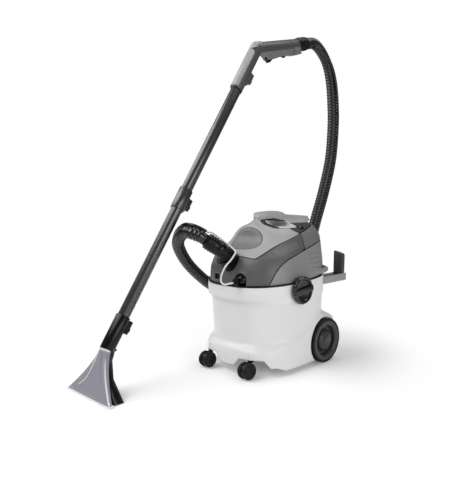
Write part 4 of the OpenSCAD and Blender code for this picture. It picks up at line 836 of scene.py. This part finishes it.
nodeFinish = {
    "tub": "glossPolypropyleneWhite", "rim_seal": "sealRubber", "dirty_bin": "binPolypropyleneGrey",
    "axle_left": "turnedSteel", "axle_right": "turnedSteel",
    "rear_wheel_left": "wheelNylonGrey", "rear_wheel_right": "wheelNylonGrey",
    "rear_tyre_left": "tyreRubber", "rear_tyre_right": "tyreRubber",
    "hub_cap_left": "wheelNylonGrey", "hub_cap_right": "wheelNylonGrey",
    "caster_left": "absBlackSatin", "caster_right": "absBlackSatin",
    "caster_wheels_left": "tyreRubber", "caster_wheels_right": "tyreRubber",
    "lock_knob_left": "absBlackGloss", "lock_knob_right": "absBlackGloss",
    "head_frame": "frameAbsBlack", "side_cowl": "cowlAbsDark", "bonnet": "bonnetAbsLight",
    "rear_housing": "housingAbsMid", "rear_cover": "coverAbsDark", "switch_panel": "bandAbsDark",
    "carry_handle": "bonnetAbsLight", "handle_liner": "absBlackSatin", "bonnet_cover": "ovalAbsMid",
    "name_plate": "plateAbsDark", "suction_switch": "absBlackGloss", "pump_switch": "absBlackGloss",
    "port_ring": "absBlackSatin", "hose_elbow": "absBlackSatin", "spray_socket": "absBlackSatin",
    "spray_plug": "absBlackSatin", "cable_gland": "absBlackSatin", "motor": "motorSteel",
    "fan_housing": "innerNylon", "fan_rotor": "innerNylon", "pump": "innerNylon", "float_cage": "innerNylon",
    "float_ball": "floatPolypropyleneOrange", "hook_bracket": "bracketAbsGrey",
    "hook_upright": "uprightAbsDark",
    "grip_body": "gripAbsDark", "grip_cover": "gripCoverAbsLight", "trigger": "absBlackSatin",
    "trigger_lock": "absBlackSatin", "hose_swivel": "absBlackSatin", "upper_tube": "tubeBlack",
    "lower_tube": "tubeBlack", "latch_top": "absBlackSatin", "latch_middle": "absBlackSatin",
    "latch_low": "absBlackSatin", "nozzle_shell": "polycarbonateClear", "nozzle_frame": "absBlackSatin",
    "nozzle_lip": "nozzleLipWhite", "spray_jet": "absBlackSatin",
    "suction_hose": "hosePolyethyleneBlack", "spray_line": "sprayLineVinylBlack",
    "spray_tube": "sprayTubeClear"}
for name, finish in nodeFinish.items():
    mesh = nodes[name].data
    mesh.materials.clear()
    mesh.materials.append(mats[finish])
bodyOf = {n: b for b, members in frame["record"]["behaviour"]["bodies"].items() for n in members}
for name, width in soft.items():
    softened(name, nodeFinish[name], bodyOf[name], width)
# of the bonnet's solids, the wall inside the finger opening, in a paler grey than the bonnet: painted light
# against the shade inside the opening
softened("bonnet", "openingPaintedLighter", "head", 0.8, only=lambda p: p[:, 1].min() > -60)


valve = {"drop": 12.9, "along": (9, 216), "half": 17.1}


# True on the valve housing under the grip's barrel and on the end block behind it.
def onValveHousing(p):
    along, above = (p - bendPoint) @ gripDir, (p - bendPoint) @ np.cross(gripDir, [-1, 0, 0])
    return (above < -valve["drop"] and valve["along"][0] < along < valve["along"][1]
            and abs(p[0] - wand["neck"][0]) < valve["half"])


softened("grip_body", "gripAbsDark", "machine", 1.0, other=("valveAbsMid", onValveHousing))
softened("grip_cover", "gripCoverAbsLight", "machine", 0.6, trim=[((-105.4, 0, 0), (1, 0, 0))])
print("solids finished")

nozzle = {"width": 216.0, "lipWall": 3.0, "lipY": -566.0, "wall": 1.6, "ridge": 1.5, "ridgeHalf": 1.5,
          "collar": 0.018, "bead": 0.9, "beadAt": 0.955, "beadHalf": 0.012, "neckHalf": 17.0, "rows": 96,
          "columns": 320, "fade": 0.06,
          # swept ridges, as (share of the way down, share of the half width)
          "ridges": [[(0.03, -0.46), (0.3, -0.45), (0.55, -0.42), (0.7, -0.5), (0.84, -0.66), (0.9, -0.78)],
                     [(0.02, 0.99), (0.5, 0.995), (1.0, 1.0)], [(0.02, -0.99), (0.5, -0.995), (1.0, -1.0)]],
          "grooves": [[(0.06, 0.5), (0.3, 0.56), (0.5, 0.62), (0.7, 0.72), (0.86, 0.84)]]}


# Clear shell of the floor nozzle: superellipses that widen with the 1.5th power of the way down, over a
# straight slope; each ridge or groove lifts or sinks the front by a bell curve across its own line, and a
# bead runs across it above the lip.
def makeNozzle(g):
    rows, cols = g["rows"], g["columns"]
    down = np.linspace(-0.034, 1, rows)[:, None]
    k = np.maximum(down, 0)
    t = -np.radians((np.arange(cols) + 0.5) * 360 / cols)[None]
    n = 2 + 4 * k
    ox = np.sign(np.cos(t)) * np.abs(np.cos(t)) ** (2 / n)
    oy = np.sign(np.sin(t)) * np.abs(np.sin(t)) ** (2 / n)
    w = g["neckHalf"] + (g["width"] / 2 - g["lipWall"] - g["neckHalf"]) * k ** 1.5
    lift = np.zeros((rows, cols))
    for line, height in [(r, g["ridge"]) for r in g["ridges"]] + [(r, -g["ridge"]) for r in g["grooves"]]:
        line = np.array(line)
        at = monotone(line[:, 0], line[:, 1], k[:, 0])[:, None]
        starts = np.clip((k - line[0, 0]) / g["fade"], 0, 1)
        ends = starts * np.clip((line[-1, 0] - k) / g["fade"] + (line[-1, 0] == 1), 0, 1)
        lift += height * ends * np.exp(-((ox - at) * w / g["ridgeHalf"]) ** 2)
    lift += g["bead"] * np.exp(-((k - g["beadAt"]) / g["beadHalf"]) ** 2)
    front = np.clip(oy * 1.6, 0, 1)
    d = 13 - 6 * k ** 0.8 + (lift - g["ridge"]) * front
    neckX, neckY, neckZ = wand["neck"]
    x = neckX + (w - 0.2) * ox
    y = neckY + (g["lipY"] - neckY) * down - 7 * (1 - down) - 0.89 * d * oy
    z = neckZ * (1 - down) + 4 * down - 3 * (1 - down) + 0.45 * d * oy
    surface = np.stack([x, y, np.maximum(z, 2.0)], -1)
    faces = gridFaces(rows, cols)
    piece = newPiece("nozzleShellClear", surface.reshape(-1, 3), faces.tolist(), "polycarbonateClear")
    raised = (lift * front).reshape(-1)[faces].mean(1)
    collar = np.broadcast_to(down, lift.shape).reshape(-1)[faces].mean(1) < g["collar"]
    # second finish: a painted highlight on the ridge tops and the neck collar
    piece.data.materials.append(mats["polycarbonatePaintedHighlight"])
    piece.data.materials.append(mats["polycarbonatePaintedShade"])
    # each face's finish: painted highlight on ridge tops and the collar, painted shade in the grooves, plain
    # clear elsewhere
    finish = np.where(collar | (raised > 0.55 * g["ridge"]), 1, np.where(raised < -0.3 * g["ridge"], 2, 0))
    piece.data.polygons.foreach_set("material_index", finish)
    thicken(piece, g["wall"])
    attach(piece, "machine")
    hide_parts("nozzle_shell")


makeNozzle(nozzle)
print("nozzle moulded")

# lengths in m: the floor's side, and how far out its shadow paint turns to plain white
studio = {"floor": 12.0, "worldLight": 0.16, "floorLift": 0.13, "plainFrom": 0.45, "plainTo": 0.78,
          "plainStretch": (1.3, 1.0, 1.0),  # the plain white comes nearer on the two sides
          # each lamp: power in W, width and height in m, where it stands, what it faces
          "lamps": {"keyBank": (68.0, 3.0, 1.8, (-1.1, -1.45, 2.45), (0.0, 0.0, 0.5)),
                    "leftBox": (7.0, 1.4, 1.4, (-2.4, -0.3, 1.2), (0.0, 0.0, 0.4)),
                    "rightBox": (24.0, 1.6, 1.2, (2.6, -0.4, 0.9), (0.0, 0.0, 0.3)),
                    "topBox": (20.0, 1.8, 1.8, (0.4, 1.1, 2.8), (0.0, 0.0, 0.3))}}


# 1 for rays that come from the camera, also through clear plastic, and 0 for all others.
def straightRays(tree):
    seen = addNode(tree, "ShaderNodeLightPath")
    return addNode(tree, "ShaderNodeMath", {"operation": "MAXIMUM"},
                   {0: seen.outputs["Is Camera Ray"], 1: seen.outputs["Is Transmission Ray"]}).outputs[0]


# White paint that takes the soft shadow near the object; further out the camera sees plain white.
def floorPaint(s):
    mat, tree = newMaterial("floorPaintWhite")
    white = addNode(tree, "ShaderNodeBsdfDiffuse", {"Color": (0.97, 0.97, 0.97, 1.0)})
    lift = addNode(tree, "ShaderNodeEmission", {"Color": (1, 1, 1, 1), "Strength": s["floorLift"]})
    near = addNode(tree, "ShaderNodeAddShader", {}, {0: white.outputs[0], 1: lift.outputs[0]})
    plain = addNode(tree, "ShaderNodeEmission", {"Color": (1, 1, 1, 1), "Strength": 1.0})
    place = addNode(tree, "ShaderNodeTexCoord")
    drawn = addNode(tree, "ShaderNodeVectorMath", {"operation": "MULTIPLY"}, {0: place.outputs["Object"]})
    drawn.inputs[1].default_value = s["plainStretch"]
    away = addNode(tree, "ShaderNodeVectorMath", {"operation": "LENGTH"}, {0: drawn.outputs["Vector"]})
    far = addNode(tree, "ShaderNodeMapRange",
                  {"interpolation_type": "SMOOTHSTEP", "From Min": s["plainFrom"], "From Max": s["plainTo"]},
                  {"Value": away.outputs["Value"]})
    straight = straightRays(tree)
    share = addNode(tree, "ShaderNodeMath", {"operation": "MULTIPLY"},
                    {0: far.outputs["Result"], 1: straight})
    seenNear = addNode(tree, "ShaderNodeMixShader", {},
                       {0: straight, 1: white.outputs[0], 2: near.outputs[0]})
    both = addNode(tree, "ShaderNodeMixShader", {},
                   {0: share.outputs[0], 1: seenNear.outputs[0], 2: plain.outputs[0]})
    addNode(tree, "ShaderNodeOutputMaterial", {}, {"Surface": both.outputs[0]})
    return mat


# Floor, plain white world and the lamps.
def makeStudio(s):
    mesh = bpy.data.meshes.new("floor")
    half = s["floor"] / 2
    corners = [(-half, -half, 0), (half, -half, 0), (half, half, 0), (-half, half, 0)]
    mesh.from_pydata(corners, [], [(0, 1, 2, 3)])
    mesh.materials.append(floorPaint(s))
    placed("floor", mesh)

    world = bpy.data.worlds.new("studioWorld")
    world.use_nodes = True
    tree = world.node_tree
    tree.nodes.clear()
    level = addNode(tree, "ShaderNodeMapRange", {"To Min": s["worldLight"], "To Max": 1.0},
                    {"Value": straightRays(tree)})
    back = addNode(tree, "ShaderNodeBackground", {"Color": (1, 1, 1, 1)},
                   {"Strength": level.outputs["Result"]})
    addNode(tree, "ShaderNodeOutputWorld", {}, {"Surface": back.outputs[0]})
    bpy.context.scene.world = world

    for name, (power, width, height, at, aim) in s["lamps"].items():
        data = bpy.data.lights.new(name, "AREA")
        data.shape, data.size, data.size_y, data.energy = "RECTANGLE", width, height, power
        obj = placed(name, data)
        d = np.array(at, float) - np.array(aim, float)
        d /= np.linalg.norm(d)
        obj.location = at
        obj.rotation_euler = (math.acos(d[2]), 0.0, math.atan2(d[1], d[0]) + math.pi / 2)


makeStudio(studio)
bpy.context.scene.view_settings.view_transform = "Standard"
print("studio set")
